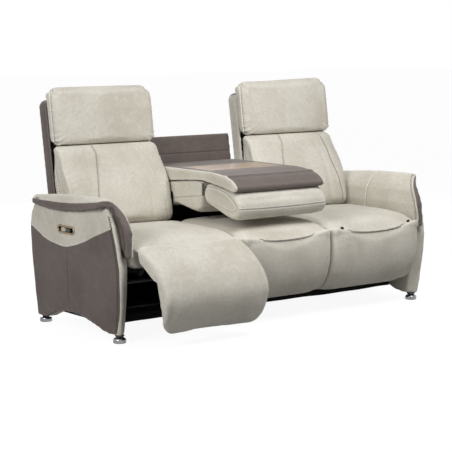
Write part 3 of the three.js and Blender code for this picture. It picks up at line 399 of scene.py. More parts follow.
@dataclass(frozen=True)
class Cover:
    """Brushed hide: a soft nap over a fine grain, clouded, with sewn seams.

    Wide clouds, patches and a fine mottle change its colour by their shares, as do wear on
    raised points and painted shade in hollows; grain, pores and creases stand out by their
    reliefs in metres.
    """

    name: str
    ground: Rgba
    shade: Rgba
    light: Rgba
    rough: float = 0.74
    clouds: float = 1.0
    cloud_share: float = 0.55
    patch_share: float = 0.4
    mottle_share: float = 0.34
    grain_share: float = 0.2
    worn_share: float = 0.4
    # The share of painted shade in the hollows.
    hollow_shade_share: float = 0.35
    grain_relief: float = 0.00022
    pore_relief: float = 0.00018
    crease_relief: float = 0.0009
    gloss: float = 0.28
    nap: float = 0.22
    nap_rough: float = 0.45

    def make(self, piece: str, seams: Sequence[Seam] = ()) -> bpy.types.Material:
        """The finish for one piece.

        Args:
            piece: The piece's name.
            seams: The seams whose lie is kept on its points, in order.

        Returns:
            The material.
        """
        bench = Bench(f"{self.name}_{piece}")
        place = bench.place()
        cloud = bench.noise(place, 4.2, 4, 0.55).ease(0.38, 0.66)
        patch = bench.noise(place, 17, 4, 0.6).ease(0.42, 0.7)
        grain = bench.noise(place, 460, 3, 0.6)
        pores = bench.cells(place, 620)
        creases = bench.noise(bench.stretched(place, (1.0, 1.0, 2.4)), 38, 3, 0.65)
        wear_and_shade = bench.split(bench.attribute("wear_and_shade"))
        mottle = bench.noise(place, 74, 4, 0.65).ease(0.4, 0.68)
        colour = bench.blend(cloud * self.cloud_share * self.clouds, self.ground, self.shade)
        colour = bench.blend(patch * self.patch_share * self.clouds, colour, self.light)
        colour = bench.blend(mottle * self.mottle_share * self.clouds, colour, self.shade)
        colour = bench.blend(grain.ease(0.35, 0.75, 0.0, self.grain_share), colour, self.shade)
        # Raised points are lightened as wear, and hollows are darkened as painted shade.
        colour = bench.blend(wear_and_shade.ease(0.0, 1.0, 0.0, self.worn_share), colour, self.light)
        colour = bench.blend(wear_and_shade.ease(-1.0, 0.0, self.hollow_shade_share, 0.0), colour, self.shade)
        height = grain * self.grain_relief + pores * self.pore_relief \
            + creases * self.crease_relief
        for number, seam in enumerate(seams):
            lie = bench.split(bench.attribute(f"seam_{number}"))
            across, along, strength = lie, lie.out(1), lie.out(2)
            # The sunk line is painted shade in the seam's groove, in the black thread's colour.
            line = abs(across).ease(*SUNK_EDGE, 1.0, 0.0) * strength
            colour = bench.blend(line * seam.line, colour, Thread.BLACK.value)
            rows = self.rows(seam, across, along)
            if rows is not None:
                sewn = rows * strength
                colour = bench.blend(sewn, colour, seam.thread.value)
                height = height + sewn * THREAD_RISE
            height = height - line * LINE_SINK
        return bench.finish(
            {"Base Color": colour, "Roughness": cloud * 0.08 + self.rough,
             "Specular IOR Level": self.gloss, "Sheen Weight": self.nap,
             "Sheen Roughness": self.nap_rough}, height)

    @staticmethod
    def rows(seam: Seam, across: Flow, along: Flow) -> Flow | None:
        """Where the thread lies.

        Args:
            seam: The seam.
            across: The distance across it.
            along: The length along it.

        Returns:
            A mask from 0 to 1, or None for a plain seam.
        """
        if seam.stitch is Stitch.PLAIN:
            return None
        if seam.stitch is Stitch.ZIGZAG:
            wave = abs((along / ZIGZAG_PITCH).share() - 0.5) * ZIGZAG_SWING - ZIGZAG_SWING / 4
            return abs(across - seam.offset * MM - wave).ease(*ZIGZAG_EDGE, 1.0, 0.0)
        dash = abs((along / DASH_PITCH).share() - 0.5).ease(*DASH_END, 1.0, 0.0)
        return abs(across - seam.offset * MM).ease(*DASH_EDGE, 1.0, 0.0) * dash


@dataclass(frozen=True)
class Solid:
    """A hard finish with fine relief, patches and rubbed spots."""

    name: str
    ground: Rgba
    second: Rgba
    rough: float
    metal: float = 0.0
    grain: float = 300.0
    relief: float = 0.0001
    drawn: Point = (1.0, 1.0, 1.0)
    coat: float = 0.0
    level: float = 0.5

    def make(self, piece: str) -> bpy.types.Material:
        """The finish for one piece.

        Args:
            piece: The piece's name.

        Returns:
            The material.
        """
        bench = Bench(f"{self.name}_{piece}")
        place = bench.stretched(bench.place(), self.drawn)
        fine = bench.noise(place, self.grain, 3, 0.6)
        wide = bench.noise(place, self.grain / 14, 4, 0.6)
        colour = bench.blend(wide.ease(0.35, 0.68), self.ground, self.second)
        colour = bench.blend(fine.ease(0.5, 0.8, 0.0, 0.3), colour, self.second)
        surface = {
            "Base Color": colour, "Metallic": self.metal,
            "Roughness": wide * 0.16 + (self.rough - 0.08), "Specular IOR Level": self.level,
            "Coat Weight": self.coat, "Coat Roughness": 0.12,
        }
        return bench.finish(surface, fine * self.relief)


@dataclass(frozen=True)
class Webbing:
    """Ribbed woven strip."""

    name: str
    ground: Rgba
    second: Rgba

    def make(self, piece: str) -> bpy.types.Material:
        """The finish for one piece.

        Args:
            piece: The piece's name.

        Returns:
            The material.
        """
        bench = Bench(f"{self.name}_{piece}")
        place = bench.split(bench.place())
        rib = (place.out(2) * (math.tau / 0.006)).sine()
        cross = (place.out(1) * (math.tau / 0.0035)).sine()
        weave = (rib * cross).ease(-0.6, 0.6)
        colour = bench.blend(weave, self.ground, self.second)
        return bench.finish({"Base Color": colour, "Roughness": 0.85}, weave * 0.0006)


CREAM = Cover("cream_cover", tone(212, 208, 196), tone(182, 174, 160), tone(226, 223, 213))
TAUPE = Cover("taupe_cover", tone(102, 92, 87), tone(82, 72, 68), tone(120, 110, 105),
              rough=0.66, clouds=0.9)
TRAY = Solid("tray_lacquer", tone(168, 148, 128), tone(146, 127, 109), rough=0.42, grain=90.0,
             relief=0.00002, drawn=(1.0, 8.0, 1.0), coat=0.12)
BOARD = Solid("black_board", tone(20, 19, 19), tone(30, 29, 29), rough=0.85, grain=420.0,
              relief=0.0002, level=0.2)
STEEL = Solid("black_steel", tone(18, 18, 19), tone(32, 32, 33), rough=0.6, grain=500.0,
              relief=0.00006, level=0.2)
PLASTIC = Solid("black_plastic", tone(22, 22, 23), tone(34, 34, 35), rough=0.45, grain=700.0,
                relief=0.00005)
SILVER = Solid("silver_plastic", tone(186, 182, 174), tone(160, 157, 150), rough=0.36, metal=0.5,
               grain=600.0, relief=0.00003)
BRONZE = Solid("bronze_trim", tone(160, 140, 112), tone(128, 109, 84), rough=0.3, metal=0.85,
               grain=380.0, relief=0.00004, drawn=(1.0, 1.0, 6.0))
CHROME = Solid("chrome", tone(150, 150, 153), tone(118, 118, 122), rough=0.14, metal=1.0,
               relief=0.00001)
WEB = Webbing("webbing", tone(44, 42, 39), tone(112, 107, 99))
# Near-black finish that paints the shade inside the sofa: hidden board faces, the cloth under the seats
# and the inner frames.
INSIDE = Solid("dark_lining", tone(20, 19, 19), tone(30, 29, 28), rough=0.9, grain=500.0,
               relief=0.0003, level=0.1)


# Shaping

WELD = 1e-5
FLAT = math.radians(3)
SOFTEN = (0.5, -0.44)
CLOTH = {
    "quality": 4, "mass": 0.08, "tension_stiffness": 15, "compression_stiffness": 15,
    "shear_stiffness": 5, "bending_stiffness": 0.5, "use_pressure": True,
}
CLOTH_FRAMES = 20
STEP_EVENINGS = 8
# Evening and full scale of the wear on raised points and the painted shade in hollows.
WEAR_SHADE_EVENINGS = 6
WEAR_SHADE_FULL = 0.35 * MM


@dataclass(frozen=True)
class Stuffing:
    """How a soft solid is filled out, in millimetres.

    The skin has faces of the voxel size and is softened so many times. It is drawn in by
    the inset and blown up by pressure, by at most the cap.
    """

    voxel: float
    inset: float
    soften: int
    cap: float
    pressure: float = 5.0
    fill: float = 0.7


class Workshop:
    """Lifts solids of the frame, fills them out and finishes them as pieces."""

    def __init__(self) -> None:
        """Starts with nothing on the bench."""
        self.waiting: list[tuple[bpy.types.Object, Stuffing]] = []

    @staticmethod
    def show(name: str, mesh: bpy.types.Mesh) -> bpy.types.Object:
        """Puts a mesh into the scene at the origin.

        Args:
            name: The piece's name.
            mesh: The mesh.

        Returns:
            The piece.
        """
        piece = bpy.data.objects.new(name, mesh)
        bpy.context.scene.collection.objects.link(piece)
        return piece

    @staticmethod
    def from_bmesh(name: str, form: bmesh.types.BMesh, outward: bool = True) -> bpy.types.Object:
        """Makes a piece of a finished form.

        Args:
            name: The piece's name.
            form: The form, which is used up.
            outward: Whether the faces are turned outwards first.

        Returns:
            The piece.
        """
        if outward:
            bmesh.ops.recalc_face_normals(form, faces=form.faces)
        mesh = bpy.data.meshes.new(name)
        form.to_mesh(mesh)
        form.free()
        return Workshop.show(name, mesh)

    @staticmethod
    def settled(piece: bpy.types.Object) -> None:
        """Applies all modifiers of a piece.

        Args:
            piece: The piece.
        """
        graph = bpy.context.evaluated_depsgraph_get()
        mesh = bpy.data.meshes.new_from_object(piece.evaluated_get(graph))
        piece.modifiers.clear()
        old = piece.data
        piece.data = mesh
        bpy.data.meshes.remove(old)

    @staticmethod
    def read(items: Sequence, what: str) -> np.ndarray:
        """Reads three numbers of every point or face.

        Args:
            items: The points or faces of a mesh.
            what: The name of the property.

        Returns:
            One row for each.
        """
        found = np.empty(len(items) * 3, np.float32)
        items.foreach_get(what, found)
        return found.reshape(-1, 3).astype(float)

    @staticmethod
    def places(piece: bpy.types.Object) -> np.ndarray:
        """The points of a piece."""
        return Workshop.read(piece.data.vertices, "co")

    @staticmethod
    def facings(piece: bpy.types.Object) -> np.ndarray:
        """The normals of a piece's points."""
        return Workshop.read(piece.data.vertices, "normal")

    @staticmethod
    def move(piece: bpy.types.Object, points: np.ndarray) -> None:
        """Sets the points of a piece."""
        piece.data.vertices.foreach_set("co", points.astype(np.float32).ravel())
        piece.data.update()

    @staticmethod
    def tree(piece: bpy.types.Object) -> BVHTree:
        """The faces of a piece, for finding the nearest point."""
        corners = [tuple(face.vertices) for face in piece.data.polygons]
        return BVHTree.FromPolygons([vert.co for vert in piece.data.vertices], corners)

    def lift(self, name: str, nodes: Sequence[str], voxel: float, soften: int,
             extra: Sequence[tuple[Point, Point]] = ()) -> bpy.types.Object:
        """Copies solids of the frame and gives them one even skin.

        Args:
            name: The new piece's name.
            nodes: The solids.
            voxel: The size of the skin's faces in millimetres.
            soften: How often the skin is smoothed.
            extra: Filler boxes for hidden slots, in millimetres.

        Returns:
            The piece, at the origin.
        """
        form = bmesh.new()
        for node in nodes:
            form.from_mesh(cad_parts[node].data)
        bmesh.ops.remove_doubles(form, verts=form.verts, dist=WELD)
        for low, high in extra:
            middle = [(a + b) / 2 * MM for a, b in zip(low, high)]
            size = [(b - a) * MM for a, b in zip(low, high)]
            bmesh.ops.create_cube(form, size=1, matrix=Matrix.Translation(middle)
                                  @ Matrix.Diagonal((*size, 1)))
        piece = self.from_bmesh(name, form, False)
        skin = piece.modifiers.new("skin", "REMESH")
        skin.mode = "VOXEL"
        skin.voxel_size = voxel * MM
        for factor in SOFTEN:
            smooth = piece.modifiers.new("soften", "SMOOTH")
            smooth.iterations = soften
            smooth.factor = factor
        self.settled(piece)
        return piece

    def stuff(self, piece: bpy.types.Object, stuffing: Stuffing) -> None:
        """Draws a lifted piece in and puts it on the bench, to be filled out.

        Args:
            piece: The piece.
            stuffing: How it is filled out.
        """
        points = self.places(piece) - self.facings(piece) * stuffing.inset * MM
        self.move(piece, points)
        self.waiting.append((piece, stuffing))

    def fill_out(self) -> None:
        """Blows up all the pieces on the bench together as cloth under pressure."""
        scene = bpy.context.scene
        rests = [self.places(piece) for piece, _ in self.waiting]
        ways = [self.facings(piece) for piece, _ in self.waiting]
        for piece, stuffing in self.waiting:
            cloth = piece.modifiers.new("stuffing", "CLOTH")
            for key, value in CLOTH.items():
                setattr(cloth.settings, key, value)
            cloth.settings.uniform_pressure_force = stuffing.pressure
            cloth.settings.effector_weights.gravity = 0
            cloth.collision_settings.use_collision = False
            cloth.point_cache.frame_start = 1
            cloth.point_cache.frame_end = CLOTH_FRAMES
        for number in range(1, CLOTH_FRAMES + 1):
            scene.frame_set(number)
        for (piece, stuffing), rest, way in zip(self.waiting, rests, ways):
            self.settled(piece)
            step = np.einsum("ij,ij->i", self.places(piece) - rest, way)
            log.info("%s: filled out by %.1f mm", piece.name, float(np.median(step)) / MM)
            step = self.evened(piece, np.clip(step, -MM, stuffing.cap * MM), STEP_EVENINGS)
            self.move(piece, rest + way * (step + stuffing.inset * MM)[:, None])
        scene.frame_set(1)

    def sew(self, piece: bpy.types.Object, cover: Cover, seams: Sequence[Seam],
            divide: bool = True, limits: tuple[float, float] | None = None,
            shape: Callable[[np.ndarray, np.ndarray], np.ndarray] | None = None) -> None:
        """Refines a piece, sinks its seams into it and gives it its cover.

        Args:
            piece: The filled piece.
            cover: Its finish.
            seams: Its seams.
            divide: Whether each face is divided in four.
            limits: The lowest and highest X in millimetres that it may reach.
            shape: A last change, from points and normals to points.
        """
        if divide:
            finer = piece.modifiers.new("finer", "SUBSURF")
            finer.levels = finer.render_levels = 1
            self.settled(piece)
        if limits is not None:
            points = self.places(piece)
            points[:, 0] = np.clip(points[:, 0], limits[0] * MM, limits[1] * MM)
            self.move(piece, points)
        if shape is not None:
            self.move(piece, shape(self.places(piece), self.facings(piece)))
        points, normals = self.places(piece), self.facings(piece)
        tree = self.tree(piece)
        lies = [seam.measured(points, normals, tree) for seam in seams]
        for seam, lie in zip(seams, lies):
            points = points + normals * seam.relief(lie)[:, None]
        self.move(piece, points)
        # Keeps the wear on raised points and the painted shade in hollows.
        self.keep(piece, "wear_and_shade", self.worn_and_shaded(piece))
        for number, lie in enumerate(lies):
            self.keep(piece, f"seam_{number}", lie)
        self.dress(piece, cover.make(piece.name, seams))

    @staticmethod
    def keep(piece: bpy.types.Object, name: str, rows: np.ndarray) -> None:
        """Keeps three numbers on each point of a piece.

        Args:
            piece: The piece.
            name: The name they are kept under.
            rows: The numbers.
        """
        store = piece.data.attributes.new(name, "FLOAT_VECTOR", "POINT")
        store.data.foreach_set("vector", rows.astype(np.float32).ravel())

    @staticmethod
    def neighbours(piece: bpy.types.Object, values: np.ndarray) -> np.ndarray:
        """Blurs a number on each point.

        Args:
            piece: The piece.
            values: The number on each of its points.

        Returns:
            For each point the mean over its neighbours.
        """
        edges = np.empty(len(piece.data.edges) * 2, np.int32)
        piece.data.edges.foreach_get("vertices", edges)
        first, second = edges.reshape(-1, 2).T
        size = len(values)
        sums = np.bincount(first, values[second], size) + np.bincount(second, values[first], size)
        return sums / np.maximum(np.bincount(edges, minlength=size), 1)

    def evened(self, piece: bpy.types.Object, values: np.ndarray, times: int) -> np.ndarray:
        """Evens a number out over a piece.

        Args:
            piece: The piece.
            values: The number on each of its points.
            times: How often it is blended with its neighbours.

        Returns:
            The evened number.
        """
        for _ in range(times):
            values = (values + self.neighbours(piece, values)) / 2
        return values

    def worn_and_shaded(self, piece: bpy.types.Object) -> np.ndarray:
        """Finds where a cover is worn, on raised points, and where shade is painted, in hollows.

        Args:
            piece: The piece.

        Returns:
            For each point how much it stands out of its neighbours, from -1 to 1, three times.
        """
        points, normals = self.places(piece), self.facings(piece)
        mean = np.column_stack([self.neighbours(piece, points[:, axis]) for axis in range(3)])
        value = np.einsum("ij,ij->i", points - mean, normals) / WEAR_SHADE_FULL
        value = self.evened(piece, value, WEAR_SHADE_EVENINGS)
        return np.repeat(np.clip(value, -1, 1)[:, None], 3, axis=1)

    @staticmethod
    def dress(piece: bpy.types.Object, material: bpy.types.Material, smooth: bool = True) -> None:
        """Gives a piece one finish.

        Args:
            piece: The piece.
            material: The finish.
            smooth: Whether its faces are shaded smooth.
        """
        piece.data.materials.clear()
        piece.data.materials.append(material)
        piece.data.polygons.foreach_set("use_smooth", [smooth] * len(piece.data.polygons))
        piece.data.update()

    def cut(self, piece: bpy.types.Object, tool: bpy.types.Object, how: str) -> None:
        """Cuts a piece with a closed tool, which stays in the scene.

        Args:
            piece: The piece.
            tool: The tool.
            how: UNION, INTERSECT or DIFFERENCE.
        """
        knife = piece.modifiers.new("cut", "BOOLEAN")
        knife.solver = "MANIFOLD"
        knife.operation = how
        knife.object = tool
        self.settled(piece)

    @staticmethod
    def part(piece: bpy.types.Object, planes: Iterable[tuple[float, int]]) -> None:
        """Cuts a closed piece off at planes across X and closes the cuts.

        Args:
            piece: The piece.
            planes: The X of each in millimetres, with 1 to keep what is higher or -1 lower.
        """
        form = bmesh.new()
        form.from_mesh(piece.data)
        for x, way in planes:
            cut = bmesh.ops.bisect_plane(
                form, geom=[*form.verts, *form.edges, *form.faces], plane_co=(x * MM, 0, 0),
                plane_no=(way, 0, 0), clear_inner=True)
            rims = [e for e in cut["geom_cut"] if isinstance(e, bmesh.types.BMEdge)]
            bmesh.ops.holes_fill(form, edges=rims)
        bmesh.ops.recalc_face_normals(form, faces=form.faces)
        form.to_mesh(piece.data)
        form.free()

    def hard(self, node: str, name: str, width: float) -> bpy.types.Object:
        """Copies a hard solid of the frame and rounds its edges.

        Args:
            node: The solid.
            name: The new piece's name.
            width: The width of the rounding in millimetres.

        Returns:
            The piece.
        """
        form = bmesh.new()
        form.from_mesh(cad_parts[node].data)
        bmesh.ops.remove_doubles(form, verts=form.verts, dist=WELD)
        bmesh.ops.dissolve_limit(form, angle_limit=FLAT, verts=form.verts, edges=form.edges)
        piece = self.from_bmesh(name, form)
        self.soften_edges(piece, width, 3)
        return piece

    def soften_edges(self, piece: bpy.types.Object, width: float, steps: int) -> None:
        """Rounds the edges of a hard piece.

        Args:
            piece: The piece.
            width: The width of the rounding in millimetres.
            steps: How many faces go round it.
        """
        bevel = piece.modifiers.new("round", "BEVEL")
        bevel.width = width * MM
        bevel.segments = steps
        bevel.limit_method = "ANGLE"
        self.settled(piece)

    def block(self, outline: Sequence[tuple[float, float]], low: float, high: float,
              name: str = "tool", cuts: int = 0) -> bpy.types.Object:
        """A closed prism along X.

        Args:
            outline: Its Y and Z corners in millimetres.
            low: The X it starts at.
            high: The X it ends at.
            name: The piece's name, if it is more than a tool.
            cuts: How often each edge is divided.

        Returns:
            The prism.
        """
        form = bmesh.new()
        corners = [form.verts.new((low * MM, y * MM, z * MM)) for y, z in outline]
        face = form.faces.new(corners)
        made = bmesh.ops.extrude_face_region(form, geom=[face])
        grown = [v for v in made["geom"] if isinstance(v, bmesh.types.BMVert)]
        bmesh.ops.translate(form, verts=grown, vec=((high - low) * MM, 0, 0))
        if cuts:
            bmesh.ops.subdivide_edges(form, edges=form.edges, cuts=cuts, use_grid_fill=True)
        return self.from_bmesh(name, form)

    @staticmethod
    def drop(piece: bpy.types.Object) -> None:
        """Takes a tool out of the scene.

        Args:
            piece: The tool.
        """
        mesh = piece.data
        bpy.data.objects.remove(piece)
        bpy.data.meshes.remove(mesh)

    def piping(self, name: str, line: np.ndarray, radius: float, cover: Cover) -> bpy.types.Object:
        """A round welt along a line on a cover.

        Args:
            name: The piece's name.
            line: Points in metres.
            radius: In millimetres.
            cover: Its finish.

        Returns:
            The piece.
        """
        curve = bpy.data.curves.new(name, "CURVE")
        curve.dimensions = "3D"
        curve.bevel_depth = radius * MM
        curve.bevel_resolution = 2
        curve.use_fill_caps = True
        spline = curve.splines.new("POLY")
        spline.points.add(len(line) - 1)
        spline.points.foreach_set("co", np.column_stack([line, np.ones(len(line))]).ravel())
        drawn = bpy.data.objects.new(name, curve)
        bpy.context.scene.collection.objects.link(drawn)
        graph = bpy.context.evaluated_depsgraph_get()
        mesh = bpy.data.meshes.new_from_object(drawn.evaluated_get(graph))
        bpy.data.objects.remove(drawn)
        piece = self.show(name, mesh)
        self.dress(piece, cover.make(name))
        return piece


def place_on(piece: bpy.types.Object, body: str, nodes: Iterable[str] = ()) -> None:
    """Ties a finished piece to the frame.

    Args:
        piece: The piece.
        body: The body that it rides on.
        nodes: The solids that it stands for.
    """
    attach(piece, body)
    if nodes:
        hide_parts(*nodes)
    log.info("%s: %d faces on %s", piece.name, len(piece.data.polygons), body)


def eased(values: np.ndarray, low: float, high: float) -> np.ndarray:
    """Turns smoothly from 0 to 1.

    Args:
        values: Lengths in metres.
        low: Where the turn starts, in millimetres.
        high: Where it ends, in millimetres.

    Returns:
        The eased values.
    """
    share = np.clip((values / MM - low) / (high - low), 0, 1)
    return share * share * (3 - 2 * share)


def rounded(points: np.ndarray, x: tuple[float, float], z: tuple[float, float],
            radii: tuple[float, float]) -> np.ndarray:
    """Rounds the corners of a cushion in its front view.

    Args:
        points: The cushion's points in metres.
        x: Its lowest and highest X in millimetres.
        z: Its lowest and highest Z in millimetres.
        radii: The radius of the lower and of the upper corners in millimetres.

    Returns:
        The changed points.
    """
    found = points.copy()
    for end, way in ((x[0], -1), (x[1], 1)):
        for edge, up, radius in ((z[0], -1, radii[0]), (z[1], 1, radii[1])):
            if radius <= 0:
                continue
            across = (found[:, 0] / MM - end) * way / radius + 1
            along = (found[:, 2] / MM - edge) * up / radius + 1
            inside = (across > 0) & (along > 0)
            most = np.maximum(across, along)
            size = np.maximum(np.hypot(across, along), 1e-6)
            share = np.where(inside, most / size, 1.0)
            found[:, 0] += np.where(inside, across * (share - 1), 0) * radius * way * MM
            found[:, 2] += np.where(inside, along * (share - 1), 0) * radius * up * MM
    return found


def dip(x: np.ndarray, low: float, high: float, depth: float) -> np.ndarray:
    """How far a nose hangs between its ends.

    Args:
        x: Places along the nose in metres.
        low: Its lowest X in millimetres.
        high: Its highest X in millimetres.
        depth: How far its middle hangs, in millimetres.

    Returns:
        The drop at each place in metres.
    """
    share = np.clip((x / MM - low) / (high - low), 0, 1)
    return depth * MM * np.sin(math.pi * share) ** 0.9


class Side(Enum):
    """The two ends of the sofa, seen from the front."""

    LEFT = -1
    RIGHT = 1

    @property
    def word(self) -> str:
        """The side's name."""
        return self.name.lower()


HINGE = (-313.246, 438.0)


def opened(points: np.ndarray, degrees: float) -> np.ndarray:
    """Turns a closed footrest open about its hinge.

    Args:
        points: Its points in metres.
        degrees: How far it opens.

    Returns:
        The turned points.
    """
    angle = math.radians(degrees)
    v = points[:, 1] - HINGE[0] * MM
    u = points[:, 2] - HINGE[1] * MM
    turned = points.copy()
    turned[:, 1] = HINGE[0] * MM + v * math.cos(angle) + u * math.sin(angle)
    turned[:, 2] = HINGE[1] * MM - v * math.sin(angle) + u * math.cos(angle)
    return turned


# Sub-assemblies

@dataclass
class Seat:
    """One seat cushion and the pad below its nose."""

    shop: Workshop
    name: str
    cushion: str
    pad: str
    low: float
    high: float
    hang: float
    open_by: float = 0.0
    pad_body: str = "base"
    thread: Thread = Thread.WHITE
    nose_drop: float = 13.0
    nose_reach: float = 25.0
    nose_line: tuple[float, float] = (-352.0, 447.0)
    rim_reach: float = 5.0
    rim_lift: float = 4.0
    pad_swell: float = 3.0
    pad_evenings: int = 60
    middle_width: float = 564.0
    stuffing: Stuffing = Stuffing(voxel=10, inset=2, soften=14, cap=8)
    pad_stuffing: Stuffing = Stuffing(voxel=10, inset=1, soften=22, cap=7)

    def start(self) -> None:
        """Lifts both pieces and puts them on the bench."""
        self.seat_piece = self.start_cushion()
        self.pad_piece = self.start_pad()

    def start_cushion(self) -> bpy.types.Object:
        """Lifts the cushion and lets its nose hang over the pad.

        Returns:
            The cushion.
        """
        shop = self.shop
        piece = shop.lift(f"{self.name}_seat_cover", [self.cushion], self.stuffing.voxel,
                          self.stuffing.soften)
        points = shop.places(piece)
        hang = dip(points[:, 0], self.low, self.high, self.hang)
        nose = eased(-points[:, 1], 232, 290)
        below = 1 - eased(points[:, 2], 446, 480)
        points[:, 2] -= (hang + self.nose_drop * MM) * nose * below
        below = 1 - eased(points[:, 2], 456, 486)
        points[:, 1] -= (0.1 * hang + self.nose_reach * MM) * nose * below
        shop.move(piece, points)
        shop.stuff(piece, self.stuffing)
        return piece

    def start_pad(self) -> bpy.types.Object:
        """Lifts the middle pad as this seat's own, still closed, and evens its front.

        Returns:
            The pad.
        """
        shop = self.shop
        piece = shop.lift(f"{self.name}_pad_cover", ["middle_apron_pad"],
                          self.pad_stuffing.voxel, self.pad_stuffing.soften)
        centre, width = (self.low + self.high) / 2, self.high - self.low
        points = shop.places(piece)
        points[:, 0] = centre * MM + points[:, 0] * width / self.middle_width
        points[:, 0] -= self.corner_cut(points)
        hang = dip(points[:, 0], self.low, self.high, self.hang)
        points[:, 2] -= hang * eased(points[:, 2], 330, 440)
        rim = eased(points[:, 2] + hang, 405, 438) * (1 - eased(points[:, 1], -300, -270))
        points[:, 1] -= self.rim_reach * MM * rim
        points[:, 2] += self.rim_lift * MM * rim
        shop.move(piece, points)
        away = np.abs(points[:, 0] / MM - centre) - width / 2
        mask = (1 - eased(points[:, 2], 415, 440)) * (1 - eased(points[:, 1], -90, -50)) \
            * (1 - eased(away * MM, -48, -20))
        for axis in (1, 2):
            even = shop.evened(piece, points[:, axis], self.pad_evenings)
            points[:, axis] += (even - points[:, axis]) * mask
        shop.move(piece, points + shop.facings(piece) * (self.pad_swell * MM * mask)[:, None])
        shop.stuff(piece, self.pad_stuffing)
        return piece

    def corner_cut(self, points: np.ndarray) -> np.ndarray:
        """Draws a pad's end in next to an arm, along its lip.

        Args:
            points: The pad's points in metres.

        Returns:
            How far each moves along X, in metres.
        """
        centre = (self.low + self.high) / 2
        if centre == 0:
            return np.zeros(len(points))
        way = math.copysign(1, centre)
        back = np.clip((points[:, 1] / MM + 239.2) / 208, 0, None)
        out = np.clip((points[:, 0] / MM - centre) * way / ((self.high - self.low) / 2), 0, None)
        return way * 95 * MM * out * back ** 2

    def end(self) -> None:
        """Sews and dresses both pieces."""
        spots = np.linspace(self.low + 3, self.high - 3, 9)
        hang = dip(spots * MM, self.low, self.high, self.hang) / MM
        y, z = self.nose_line
        nose = Seam(tuple((x, y, z - 0.95 * h) for x, h in zip(spots, hang)), Stitch.DASHES,
                    self.thread, depth=2.0, width=4.0, offset=7.0, pucker=0.25, line=0.8)
        self.shop.sew(self.seat_piece, CREAM, [nose], True, (self.low, self.high))
        place_on(self.seat_piece, "base", [self.cushion])
        self.shop.sew(self.pad_piece, CREAM, [], True, (self.low, self.high), self.turn)
        place_on(self.pad_piece, self.pad_body, [self.pad])

    def turn(self, points: np.ndarray, _: np.ndarray) -> np.ndarray:
        """Brings the pad to its opening."""
        return opened(points, self.open_by) if self.open_by else points


